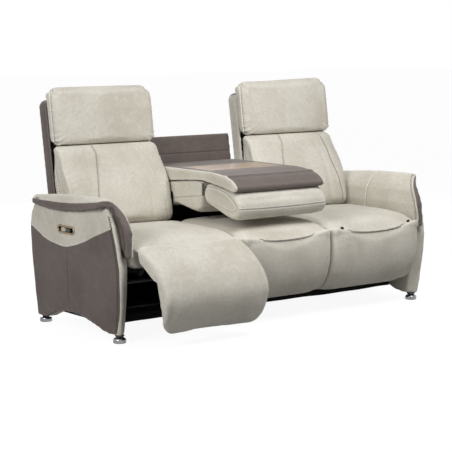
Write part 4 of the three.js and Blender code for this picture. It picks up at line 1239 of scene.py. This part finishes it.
@dataclass
class Back:
    """One back: its shell, cushion and headrest."""

    shop: Workshop
    side: Side
    seams: tuple[Seam, ...]
    low: float = 290.0
    high: float = 885.0
    waist: tuple[tuple[float, ...], ...] = ((600, 700, 800, 850), (297, 281, 277, 268))
    half: float = 296.0
    front_half: float = 286.0
    outer_rise: float = 11.0
    outer_reach: float = 9.0
    stuffing: Stuffing = Stuffing(voxel=10, inset=2, soften=10, cap=9)
    rest_stuffing: Stuffing = Stuffing(voxel=8.5, inset=1, soften=10, cap=10)

    @property
    def ends(self) -> tuple[float, float]:
        """The lowest and the highest X of this back in millimetres."""
        low, high = sorted((self.low * self.side.value, self.high * self.side.value))
        return low, high

    def start(self) -> None:
        """Lifts the cushion and headrest and puts them on the bench."""
        shop, word = self.shop, self.side.word
        self.cushion = shop.lift(f"{word}_back_cover", [f"{word}_back_cushion"],
                                 self.stuffing.voxel, self.stuffing.soften)
        self.rest = shop.lift(f"{word}_headrest_cover", [f"{word}_headrest"],
                              self.rest_stuffing.voxel, self.rest_stuffing.soften)
        shop.move(self.cushion, self.cushion_form(shop.places(self.cushion)))
        shop.move(self.rest, self.rest_form(shop.places(self.rest)))
        shop.stuff(self.cushion, self.stuffing)
        shop.stuff(self.rest, self.rest_stuffing)

    def cushion_form(self, points: np.ndarray) -> np.ndarray:
        """Widens the cushion up to its shell and draws it back behind its front.

        Args:
            points: Its points in metres.

        Returns:
            The changed points.
        """
        points = rounded(points, self.ends, (437, 864), (0, 30))
        centre = (self.ends[0] + self.ends[1]) / 2
        off = (points[:, 0] / MM - centre) * self.half / np.interp(points[:, 2] / MM, *self.waist)
        inside = points[:, 1] / MM - 391 - 0.17 * (points[:, 2] / MM - 600)
        held = np.clip(off, -self.front_half, self.front_half)
        points[:, 0] = (centre + np.where(inside > 0, held, off)) * MM
        points[:, 1] += 9 * MM * eased(inside * MM, -6, 12)
        points[:, 1] -= 7 * MM * eased(points[:, 2], 740, 840) * (1 - eased(points[:, 1], 395, 425))
        points[:, 2] += 3 * MM * eased(points[:, 2], 800, 850)
        return points

    def rest_form(self, points: np.ndarray) -> np.ndarray:
        """Draws the headrest's lower edge forward, and the right one's outer corner up.

        Args:
            points: Its points in metres.

        Returns:
            The changed points.
        """
        ends = (self.ends[0] - 4, self.ends[1] + 4)
        points = rounded(points, ends, (869, 1153), (34, 62))
        low = 1 - eased(points[:, 2], 872, 930)
        points[:, 1] -= 6 * MM * low * (1 - eased(points[:, 1], 400, 430))
        points[:, 2] -= 4 * MM * low
        if self.side is Side.RIGHT:
            outer = eased(points[:, 0], 380, 885)
            points[:, 2] += self.outer_rise * MM * outer * eased(points[:, 2], 980, 1150)
            points[:, 0] += self.outer_reach * MM * outer
        return points

    def boxing(self, points: Sequence[Point]) -> Seam:
        """A boxing seam on the end of a cushion.

        Args:
            points: Its line, given for the right side.

        Returns:
            The seam, on this side.
        """
        return Seam(tuple((x * self.side.value, y, z) for x, y, z in points), Stitch.DASHES,
                    Thread.WHITE, depth=2.4, width=4.0, offset=5.0, pucker=0.9)

    def end(self) -> None:
        """Sews and dresses all three pieces."""
        word = self.side.word
        line = [(29, 418, 850), (27, 408, 820), (19, 398, 780), (9, 377, 700), (5, 363, 647),
                (1, 345, 590), (0, 330, 520), (0, 322, 478)]
        loops = self.boxes(line, self.high)
        self.shop.sew(self.cushion, CREAM, [*self.seams, *loops], True, self.ends)
        place_on(self.cushion, f"{word}_back", [f"{word}_back_cushion"])
        line = [(15, 448, 1142), (6, 436, 1110), (2, 424, 1042), (0, 408, 949), (4, 401, 897),
                (14, 402, 876)]
        loops = self.boxes(line, self.high + 3)
        self.shop.sew(self.rest, CREAM, loops, True, None, self.puckered)
        place_on(self.rest, f"{word}_headrest", [f"{word}_headrest"])
        self.shell()

    def boxes(self, line: Sequence[Point], high: float) -> list[Seam]:
        """The boxing seams on both ends of a cushion.

        Args:
            line: How far in from the end the seam lies, with its Y and Z.
            high: The X of the outer end, for the right side.

        Returns:
            The inner and the outer seam.
        """
        return [self.boxing([(edge + way * x, y, z) for x, y, z in line])
                for edge, way in ((self.low, 1), (high, -1))]

    def puckered(self, points: np.ndarray, normals: np.ndarray) -> np.ndarray:
        """Gathers the lower corners of a headrest in slanting folds.

        Args:
            points: Its points in metres.
            normals: Their normals.

        Returns:
            The changed points.
        """
        lift = np.zeros(len(points))
        for x in (self.low + 6, self.high - 6):
            away = np.abs(points[:, 0] / MM - x * self.side.value)
            up = points[:, 2] / MM - 880
            reach = np.exp(-(away / 62) ** 2 - (np.maximum(up, 0) / 46) ** 2)
            lift += reach * np.sin((up * 1.1 - away * 0.55) / 4.6)
        front = (normals[:, 1] < -0.15).astype(float)
        return points + normals * (lift * front * 1.9 * MM)[:, None]

    def shell(self) -> None:
        """Parts the shell's skin into the dark outside and the pale inner side."""
        word, sign = self.side.word, self.side.value
        node = f"{word}_back_shell"
        inner = (self.low + 13) * sign
        pieces = []
        for part, keep in (("outside", sign), ("inner_side", -sign)):
            skin = self.shop.lift(f"{word}_shell_{part}", [node], voxel=6, soften=4)
            self.shop.part(skin, [(inner, keep)])
            pieces.append(skin)
        edge = [(496, 1075), (484, 1005), (466, 908), (450, 822), (434, 740), (420, 650),
                (406, 560), (396, 480)]
        line = Seam(tuple(((self.high + 6) * sign, y, z) for y, z in edge), Stitch.ZIGZAG,
                    Thread.BLACK, depth=0.8, width=4.0, offset=0.0, line=0.0)
        self.shop.sew(pieces[0], TAUPE, [line], False)
        self.shop.sew(pieces[1], CREAM, [], False)
        place_on(pieces[0], f"{word}_back", [node])
        place_on(pieces[1], f"{word}_back")


@dataclass
class Arm:
    """One arm: its cover, side panel, padded wing, switch and feet."""

    shop: Workshop
    side: Side
    rim: tuple[tuple[float, float], ...] = (
        (468, 498), (384, 464), (307, 435), (217, 420), (133, 415), (50, 431), (-34, 456), (-118, 491),
        (-187, 516), (-238, 537))
    band: tuple[tuple[float, float], ...] = (
        (-266, 459), (-286, 351), (-281, 231), (-267, 111), (-256, 38))
    slot: tuple[float, float, float, float] = (48, 198, 476, 514)
    rear: tuple[tuple[float, float], ...] = (
        (446, -30), (520, -30), (520, 515), (468, 498), (446, 489))
    reach: tuple[float, float, float] = (860, 955, 1030)
    welt: float = 3.2
    wing_welt: float = 4.0
    feet: tuple[float, float] = (-229.25, 429.75)
    foot_x: float = 929.8
    band_swell: float = 4.0
    band_taper: float = 1.15

    def make(self) -> None:
        """Makes every piece of the arm."""
        self.cover()
        self.wing()
        self.switch()
        for y in self.feet:
            self.foot(y)

    def flip(self, points: Iterable[Point]) -> tuple[Point, ...]:
        """Points of the right arm, on this arm's side."""
        return tuple((x * self.side.value, y, z) for x, y, z in points)

    def prism(self, outline: Sequence[tuple[float, float]], low: float, high: float,
              name: str = "tool") -> bpy.types.Object:
        """A prism along X on this arm's side.

        Args:
            outline: Its Y and Z corners in millimetres.
            low: Its lowest X on the right arm.
            high: Its highest X there.
            name: The piece's name, if it is more than a tool.

        Returns:
            The prism.
        """
        ends = sorted((low * self.side.value, high * self.side.value))
        return self.shop.block(outline, *ends, name)

    def oval(self, inset: float, steps: int) -> list[tuple[float, float]]:
        """The outline of the switch slot.

        Args:
            inset: How far inside the slot it runs, in millimetres.
            steps: How many corners each round end has.

        Returns:
            Its Y and Z corners.
        """
        y0, y1, z0, z1 = self.slot
        middle, half = (z0 + z1) / 2, (z1 - z0) / 2
        radius = half - inset
        return [(y + radius * math.cos(a), middle + radius * math.sin(a))
                for y, start in ((y1 - half, -math.pi / 2), (y0 + half, math.pi / 2))
                for a in np.linspace(start, start + math.pi, steps)]

    def zigzag(self, points: Sequence[Point], depth: float = 0.8, offset: float = 0.0,
               pucker: float = 0.0) -> Seam:
        """A seam with a black zig-zag row over it.

        Args:
            points: Its line.
            depth: How far it sinks, in millimetres.
            offset: How far beside it the row lies.
            pucker: How much it puckers.

        Returns:
            The seam.
        """
        return Seam(tuple(points), Stitch.ZIGZAG, Thread.BLACK, depth, 4.0, offset, pucker)

    def cover(self) -> None:
        """Makes the cream cover and the dark panel of one skin, and the welt between them."""
        shop, word, sign = self.shop, self.side.word, self.side.value
        x0, x1 = sorted((980 * sign, 994 * sign))
        nodes = [f"{word}_arm_{part}" for part in ("core", "side_panel", "yoke")]
        skin = shop.lift(f"{word}_arm_cover", nodes, voxel=8, soften=8,
                         extra=[((x0, 45, 472), (x1, 201, 518))])
        finer = skin.modifiers.new("finer", "SUBSURF")
        finer.levels = finer.render_levels = 1
        shop.settled(skin)
        outline = [(520, self.rim[0][1] + 18), *self.rim, *self.band, (-256, -30), (520, -30)]
        inner, low, high = self.reach
        tool = self.prism(outline, low, high)
        wrap = self.prism(self.rear, inner, high)
        shop.cut(tool, wrap, "UNION")
        panel = shop.show(f"{word}_arm_panel", skin.data.copy())
        shop.cut(panel, tool, "INTERSECT")
        shop.cut(skin, tool, "DIFFERENCE")
        pocket = self.prism(self.oval(3, 13), 984, high)
        shop.cut(skin, pocket, "DIFFERENCE")
        for used in (tool, wrap, pocket):
            shop.drop(used)
        edge = self.flip([(992, -222, 596), (992, -234, 566), (990, -240, 540)]
                         + [(985, y, z) for y, z in self.band])
        upright = Seam(self.flip([(994, 121, 400), (988, 126, 300), (982, 129, 200), (978, 130, 112)]),
                       Stitch.DASHES, Thread.BLACK, depth=1.2, width=4.0, offset=0.0)
        shop.sew(skin, CREAM, [self.zigzag(edge[:3])], False)
        shop.sew(panel, TAUPE, [self.zigzag([(x, y + 9, z) for x, y, z in edge]), upright], False)
        place_on(skin, "base", [f"{word}_arm_core", f"{word}_arm_yoke"])
        place_on(panel, "base", [f"{word}_arm_side_panel"])
        line = Seam(self.flip([(994, y, z) for y, z in self.rim])).traced(shop.tree(panel))
        place_on(shop.piping(f"{word}_arm_welt", line, self.welt, CREAM), "base")

    def wing(self) -> None:
        """Makes the padded inner side, its dark outer band and the welt between them."""
        shop, word = self.shop, self.side.word
        front = self.flip([
            (992, -189, 659), (965, -213, 656), (937, -226, 637), (918, -242, 610), (907, -261, 580),
            (902, -277, 547), (898, -290, 512), (900, -301, 476), (904, -298, 439)])
        inside = Seam(
            self.flip([(934, 75, 639), (912, 86, 603), (899, 93, 548), (896, 95, 475), (896, 95, 430)]),
            Stitch.DASHES, Thread.WHITE, depth=1.8, width=5.0, offset=6.0, pucker=0.3)
        outer = [(x + 26 * self.side.value, y + 16, z - 4) for x, y, z in front[2:]]
        for part, cover, slot, seams in (
            ("pad", CREAM, "cream_cover", [self.zigzag(front, 1.0, 9.0, 0.3), inside]),
            ("band", TAUPE, "taupe_cover", [self.zigzag(outer, 1.0, 0.0, 0.5)]),
        ):
            node = f"{word}_arm_wing_{part}"
            piece = shop.lift(f"{node}_cover", [node], voxel=5, soften=8)
            if part == "band":
                shop.move(piece, self.band_form(shop.places(piece), shop.facings(piece)))
            shop.sew(piece, cover, seams, False)
            place_on(piece, "base", [node])
            if part == "pad":
                line = Seam(front).traced(shop.tree(piece)) - (0, 2 * MM, 0)
                welt = shop.piping(f"{word}_arm_wing_welt", line, self.wing_welt, CREAM)
                place_on(welt, "base")

    def band_form(self, points: np.ndarray, normals: np.ndarray) -> np.ndarray:
        """Fills the wing's band out at the top and tapers it below.

        Args:
            points: Its points in metres.
            normals: Their normals.

        Returns:
            The changed points.
        """
        front = 1 - eased(points[:, 1], -230, -150)
        points += normals * self.band_swell * MM * eased(points[:, 2], 440, 520)[:, None]
        low = front * (1 - eased(points[:, 2], 430, 620))
        points[:, 2] += low * np.clip(points[:, 1] + 303 * MM, 0, 80 * MM) * self.band_taper
        return points

    def switch(self) -> None:
        """Makes the bronze rim with its dark well, and rounds the two buttons."""
        shop, word, sign = self.shop, self.side.word, self.side.value
        rings = [(-2, 986), (-2, 997), (-0.5, 999.2), (3.5, 1000.4), (7, 999), (8.5, 995), (9, 986)]
        form = bmesh.new()
        loops = []
        for inset, x in rings:
            verts = [form.verts.new((x * sign * MM, y * MM, z * MM)) for y, z in self.oval(inset, 17)]
            loops.append([form.edges.new((a, b)) for a, b in zip(verts, verts[1:] + verts[:1])])
        for first, second in zip(loops, loops[1:] + loops[:1]):
            bmesh.ops.bridge_loops(form, edges=first + second)
        rim = shop.from_bmesh(f"{word}_switch_rim", form)
        shop.dress(rim, BRONZE.make(rim.name))
        place_on(rim, "base", [f"{word}_control_bezel"])
        y0, y1, z0, z1 = self.slot
        corners = [(y0 + 12, z0 + 6), (y1 - 12, z0 + 6), (y1 - 12, z1 - 6), (y0 + 12, z1 - 6)]
        well = self.prism(corners, 984.3, 987.5, f"{word}_switch_well")
        shop.soften_edges(well, 1.5, 2)
        shop.dress(well, PLASTIC.make(well.name))
        place_on(well, "base")
        for button, finish, slot in (("recline", SILVER, "silver_plastic"),
                                     ("footrest", PLASTIC, "black_plastic")):
            node = f"{word}_{button}_button"
            piece = shop.hard(node, f"{node}_cap", 1.1)
            shop.dress(piece, finish.make(piece.name))
            place_on(piece, f"{word}_{button}_switch", [node])

    def foot(self, y: float) -> None:
        """Turns one chrome glide with its dark neck.

        Args:
            y: Where the foot stands, in millimetres.
        """
        end = "front" if y < 0 else "rear"
        name = f"{self.side.word}_{end}_foot"
        x = self.foot_x * self.side.value
        parts = (
            ("glide", CHROME, "chrome", [name],
             [(0.01, 0), (27, 0), (30, 1.6), (30.5, 5), (30.5, 15), (29, 20), (24, 24), (18, 26),
              (0.01, 26)]),
            ("neck", PLASTIC, "black_plastic", [],
             [(0.01, 24), (15, 24), (15.5, 26), (20, 31), (23, 37.6), (0.01, 37.6)]),
        )
        for part, finish, slot, nodes, profile in parts:
            form = bmesh.new()
            verts = [form.verts.new(((x + r) * MM, y * MM, z * MM)) for r, z in profile]
            edges = [form.edges.new(pair) for pair in zip(verts, verts[1:])]
            bmesh.ops.spin(form, geom=[*verts, *edges], cent=(x * MM, y * MM, 0), axis=(0, 0, 1),
                           angle=math.tau, steps=48, use_merge=True)
            bmesh.ops.remove_doubles(form, verts=form.verts, dist=3e-5)
            piece = self.shop.from_bmesh(f"{name}_{part}", form)
            self.shop.dress(piece, finish.make(piece.name))
            place_on(piece, "base", nodes)


@dataclass
class Console:
    """The drop down console between the backs, and the panel behind it."""

    shop: Workshop
    half: float = 281.0
    band: float = 10.0
    nose_swell: float = 6.0
    stuffing: Stuffing = Stuffing(voxel=8.5, inset=1, soften=4, cap=7)
    rest_stuffing: Stuffing = Stuffing(voxel=8.5, inset=1, soften=5, cap=7)

    def start(self) -> None:
        """Lifts the cushion and the headrest and puts them on the bench."""
        self.cushion = self.shop.lift("console_cushion_cover", ["console_cushion"],
                                      self.stuffing.voxel, self.stuffing.soften)
        self.rest = self.shop.lift("console_headrest_cover", ["console_headrest"],
                                   self.rest_stuffing.voxel, self.rest_stuffing.soften)
        self.shop.stuff(self.cushion, self.stuffing)
        self.shop.stuff(self.rest, self.rest_stuffing)

    def end(self) -> None:
        """Sews and dresses every piece of the console."""
        ends = (-self.half, self.half)
        line = [(370, 590), (300, 585), (220, 590), (96, 607), (12, 617)]
        seams = [Seam(tuple((x, y, z) for y, z in line), Stitch.PLAIN, Thread.WHITE, depth=2.6,
                      width=4.0, offset=-4.0, line=0.35, ridge=1.8) for x in ends]
        self.shop.sew(self.cushion, CREAM, seams, True, ends)
        place_on(self.cushion, "console", ["console_cushion"])
        loop = [(-12, 612), (-12, 655), (-60, 666), (-120, 664), (-180, 646), (-228, 622),
                (-258, 598), (-268, 578), (-231, 561), (-140, 578), (-50, 595)]
        seams = [Seam(tuple((x, y, z) for y, z in loop), Stitch.DASHES, Thread.WHITE, depth=2.4,
                      width=4.0, offset=4.0, line=0.35, ridge=1.6, closed=True) for x in ends]
        across = tuple((x, -294.0, 574.0 - 5 * math.sin(math.pi * (x + 281) / 562))
                       for x in np.linspace(-279, 279, 7))
        seams.append(Seam(across, Stitch.DASHES, Thread.WHITE, depth=2.4, width=4.0, offset=-6.0))
        self.shop.sew(self.rest, CREAM, seams, True, ends)
        place_on(self.rest, "console_headrest", ["console_headrest"])
        self.table()
        self.tray()
        self.webbing()
        self.rear()

    def table(self) -> None:
        """Makes the table's cover: dark over the top and nose, cream bands at both ends."""
        edge = self.half - self.band
        for part, slot, cover, planes, nodes in (
            ("top", "taupe_cover", TAUPE, [(-edge, 1), (edge, -1)], ["console_shell"]),
            ("left_band", "cream_cover", CREAM, [(-edge, -1)], []),
            ("right_band", "cream_cover", CREAM, [(edge, 1)], []),
        ):
            skin = self.shop.lift(f"console_{part}", ["console_shell"], voxel=6.5, soften=3,
                                  extra=[((-edge, -186, 694), (edge, 462, 731))])
            self.shop.part(skin, planes)
            points = self.shop.places(skin)
            nose = 1 - eased(points[:, 1], -290, -130)
            swell = self.shop.facings(skin) * (self.nose_swell * MM * nose)[:, None]
            self.shop.move(skin, points + swell * (0, 1, 1))
            self.shop.sew(skin, cover, [], False)
            place_on(skin, "console", nodes)

    def tray(self) -> None:
        """Rounds the edges of the lacquered tray."""
        piece = self.shop.hard("console_tray", "console_tray_top", 1.2)
        self.shop.dress(piece, TRAY.make(piece.name), False)
        place_on(piece, "console", ["console_tray"])

    def webbing(self) -> None:
        """Makes the two dark strips that close the joint at the console's ends."""
        corners = [(-5, 622), (8, 618), (8, 680), (-5, 674)]
        for word, sign in (("left", -1), ("right", 1)):
            piece = self.shop.block(corners, sign * (self.half - 4), sign * (self.half - 1),
                                    f"console_{word}_webbing", 3)
            self.shop.dress(piece, WEB.make(piece.name))
            place_on(piece, "console")

    def rear(self) -> None:
        """Dresses the panel behind the console and the board behind the seats."""
        panel = self.shop.lift("rear_panel_cover", ["rear_panel"], voxel=8, soften=4)
        line = Seam(tuple((x, 505.0, 783.0) for x in np.linspace(-278, 278, 5)), depth=1.8,
                    width=4.0)
        self.shop.sew(panel, TAUPE, [line], True)
        # The panel's faces below the table, except those facing back, get painted shade.
        self.shade_hidden_faces(panel, lambda middle, facing: (middle[:, 2] < 0.655) & (facing[:, 1] < 0.3))
        place_on(panel, "base", ["rear_panel"])
        board = self.shop.lift("rear_cover_skin", ["rear_cover"], voxel=6, soften=2)
        self.shop.sew(board, TAUPE, [], False)
        # The board's inner face, towards the seats, gets painted shade.
        self.shade_hidden_faces(board, lambda middle, facing: facing[:, 1] < -0.4)
        place_on(board, "base", ["rear_cover"])
        self.lining()

    @staticmethod
    def shade_hidden_faces(piece: bpy.types.Object, chosen: Callable[[np.ndarray, np.ndarray], np.ndarray]) -> None:
        """Paints shade on the hidden faces of a board, with a near-black finish.

        Args:
            piece: The board.
            chosen: Which faces, from their middles and normals.
        """
        faces = piece.data.polygons
        rows = chosen(Workshop.read(faces, "center"), Workshop.read(faces, "normal"))
        piece.data.materials.append(INSIDE.make(f"{piece.name}_lining"))
        faces.foreach_set("material_index", rows.astype(np.int32))

    def lining(self) -> None:
        """Stretches the black dust cloth under the seats, with its lip below the front pads.

        Its black also paints the shade inside the frame.
        """
        outline = [(-98, 62), (436, 62), (436, 350), (433, 350), (433, 65), (-95, 65), (-95, 100),
                   (-98, 100)]
        cloth = self.shop.block(outline, -893, 893, "under_cloth")
        form = bmesh.new()
        form.from_mesh(cloth.data)
        long = [e for e in form.edges if abs(e.verts[0].co.x - e.verts[1].co.x) > 1]
        bmesh.ops.subdivide_edges(form, edges=long, cuts=40)
        for vert in form.verts:
            wave = math.sin(vert.co.x * 9.1) + 0.6 * math.sin(vert.co.x * 23.7 + 1)
            vert.co.z += 1.6 * MM * wave
        form.to_mesh(cloth.data)
        form.free()
        # Near-black, as painted shade of the space under the seats.
        self.shop.dress(cloth, INSIDE.make(cloth.name), False)
        place_on(cloth, "base")


@dataclass
class Works:
    """The frame's own hard solids, which stay and get their finishes."""

    finishes: dict[str, Solid] = field(default_factory=lambda: {
        "inner_frame": STEEL, "outer_frame": STEEL, "seat_deck": BOARD, "footrest_motor": PLASTIC,
        "back_motor": PLASTIC, "footrest_board": STEEL, "drive_shaft": STEEL, "drive_link": STEEL,
        # The back and console frames get the near-black finish of the painted inner shade.
        "back_frame": INSIDE, "rail": STEEL, "console_frame": INSIDE})

    def make(self) -> None:
        """Gives every shown solid its finish."""
        for name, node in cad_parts.items():
            if node.hide_render:
                continue
            finish = next((f for key, f in self.finishes.items() if name.endswith(key)), None)
            if finish is None:
                raise ValueError(f"{name} has no finish")
            material = finish.make(name)
            if not node.data.materials:
                node.data.materials.append(material)
            for index in range(len(node.data.materials)):
                node.data.materials[index] = material
            log.info("%s: %s", name, finish.name)


@dataclass
class Studio:
    """The pale floor, the soft lamps and the camera."""

    eye: Point = (-4.7607, -6.0444, 1.4690)
    down: float = 7.58126292
    turn: float = -37.41382431
    lens: float = 122.2
    glow: float = 1.54
    glow_share: float = 0.6
    lamps: tuple[tuple[str, Point, float, float], ...] = (
        ("key", (0.4, -1.5, 2.7), 1.4, 55),
        ("side", (-4.6, -1.2, 2.8), 2.0, 125),
        ("rear", (1.2, 4.4, 1.9), 3.0, 90))

    def make(self) -> None:
        """Sets up the floor, lamps, world and camera."""
        self.floor()
        for lamp in self.lamps:
            self.lamp(*lamp)
        self.world()
        self.camera()

    @staticmethod
    def seen(bench: Bench) -> Flow:
        """Where the camera or a gloss looks, as 1."""
        rays = bench.node("ShaderNodeLightPath", output="Is Camera Ray")
        return rays.most(rays.out("Is Glossy Ray"))

    def floor(self) -> None:
        """Lays the pale paper, which glows a little where it is seen."""
        form = bmesh.new()
        bmesh.ops.create_grid(form, x_segments=2, y_segments=2, size=30)
        floor = Workshop.from_bmesh("floor", form, False)
        bench = Bench("floor_paper")
        grain = bench.noise(bench.place(), 90, 2)
        colour = bench.blend(grain.ease(0.3, 0.7), tone(146, 146, 146), tone(154, 154, 154))
        paper = bench.node("ShaderNodeBsdfPrincipled", None, {"Base Color": colour, "Roughness": 0.9})
        glow = bench.node("ShaderNodeEmission", None, {"Color": WHITE, "Strength": self.glow})
        rays = bench.node("ShaderNodeLightPath", output="Is Transmission Ray")
        share = self.seen(bench).most(rays) * self.glow_share
        bench.close(bench.node("ShaderNodeMixShader", None, {0: share, 1: paper, 2: glow}))
        floor.data.materials.append(bench.material)

    def camera(self) -> None:
        """Sets up the camera."""
        camera = bpy.data.objects.new("camera", bpy.data.cameras.new("camera"))
        camera.data.lens = self.lens
        camera.data.sensor_width = 36
        camera.data.clip_end = 200
        camera.location = self.eye
        camera.rotation_euler = (math.radians(90 - self.down), 0, math.radians(self.turn))
        bpy.context.scene.collection.objects.link(camera)
        bpy.context.scene.camera = camera
        bpy.context.scene.view_settings.view_transform = "Standard"

    @staticmethod
    def lamp(name: str, place: Point, size: float, power: float) -> None:
        """Hangs one square soft lamp that faces the middle of the sofa.

        Args:
            name: Its name.
            place: Where it hangs, in metres.
            size: Its side in metres.
            power: Its power in watts.
        """
        data = bpy.data.lights.new(name, "AREA")
        data.size = size
        data.energy = power
        lamp = bpy.data.objects.new(name, data)
        lamp.location = place
        aim = Vector((0, 0, 0.5)) - Vector(place)
        lamp.rotation_euler = aim.to_track_quat("-Z", "Y").to_euler()
        bpy.context.scene.collection.objects.link(lamp)

    def world(self) -> None:
        """White where the camera and gloss look, soft light elsewhere."""
        world = bpy.data.worlds.new("studio")
        bpy.context.scene.world = world
        bench = Bench("studio", world)
        soft, white = (
            bench.node("ShaderNodeBackground", None, {"Color": WHITE, "Strength": strength})
            for strength in (0.2, 1.0))
        mixed = {0: self.seen(bench), 1: soft, 2: white}
        bench.close(bench.node("ShaderNodeMixShader", None, mixed))


def left_seams() -> tuple[Seam, ...]:
    """The two shaped seams of the left back cushion.

    Returns:
        The wide one and the thin one.
    """
    ridge = ((-679, 398, 862), (-681, 383, 850), (-685, 348, 806), (-704, 305, 744), (-722, 268, 683),
             (-734, 245, 631), (-741, 222, 560), (-744, 212, 510), (-744, 225, 474))
    thin = ((-433, 394, 862), (-420, 359, 819), (-397, 332, 781), (-382, 296, 726), (-369, 257, 656),
            (-358, 234, 595), (-350, 221, 540), (-340, 218, 500), (-334, 230, 474))
    return (Seam(ridge, Stitch.DASHES, Thread.STONE, depth=3.0, width=5.0, offset=-6.0, pucker=0.4,
                 line=0.7, ridge=0.9),
            Seam(thin, Stitch.DASHES, Thread.WHITE, depth=2.0, width=4.0, offset=3.0, pucker=0.2,
                 line=0.35))


def right_seams() -> tuple[Seam, ...]:
    """The two shaped seams of the right back cushion.

    Returns:
        The wide one and the thin one.
    """
    ridge = ((520, 400, 864), (516, 394, 857), (502, 350, 809), (482, 314, 758), (468, 290, 720),
             (452, 262, 660), (440, 238, 600), (432, 220, 540), (430, 210, 505), (430, 224, 474))
    thin = ((785, 402, 864), (805, 333, 782), (808, 283, 702), (822, 246, 628), (828, 227, 567),
            (838, 215, 520), (845, 225, 474))
    return (Seam(ridge, Stitch.DASHES, Thread.STONE, depth=3.0, width=5.0, offset=-6.0, pucker=0.4,
                 line=0.6, ridge=0.8),
            Seam(thin, Stitch.DASHES, Thread.BLACK, depth=2.0, width=4.0, offset=3.0, pucker=0.2,
                 line=0.35))


def main() -> None:
    """Builds every sub-assembly in order."""
    logging.basicConfig(level=logging.INFO, format="%(message)s")
    shop = Workshop()
    seats = [
        Seat(shop, "left", "left_seat_cushion", "left_footrest_pad", -885, -289, hang=9,
             open_by=60, pad_body="left_footrest", thread=Thread.STONE),
        Seat(shop, "middle", "middle_seat_cushion", "middle_apron_pad", -282, 282, hang=26),
        Seat(shop, "right", "right_seat_cushion", "right_footrest_pad", 289, 885, hang=32,
             pad_body="right_footrest"),
    ]
    backs = [Back(shop, Side.LEFT, left_seams()), Back(shop, Side.RIGHT, right_seams())]
    console = Console(shop)
    soft = [*seats, *backs, console]
    for assembly in soft:
        assembly.start()
    shop.fill_out()
    for assembly in soft:
        assembly.end()
    for side in Side:
        Arm(shop, side).make()
    Works().make()
    Studio().make()


if __name__ == "__main__":
    main()
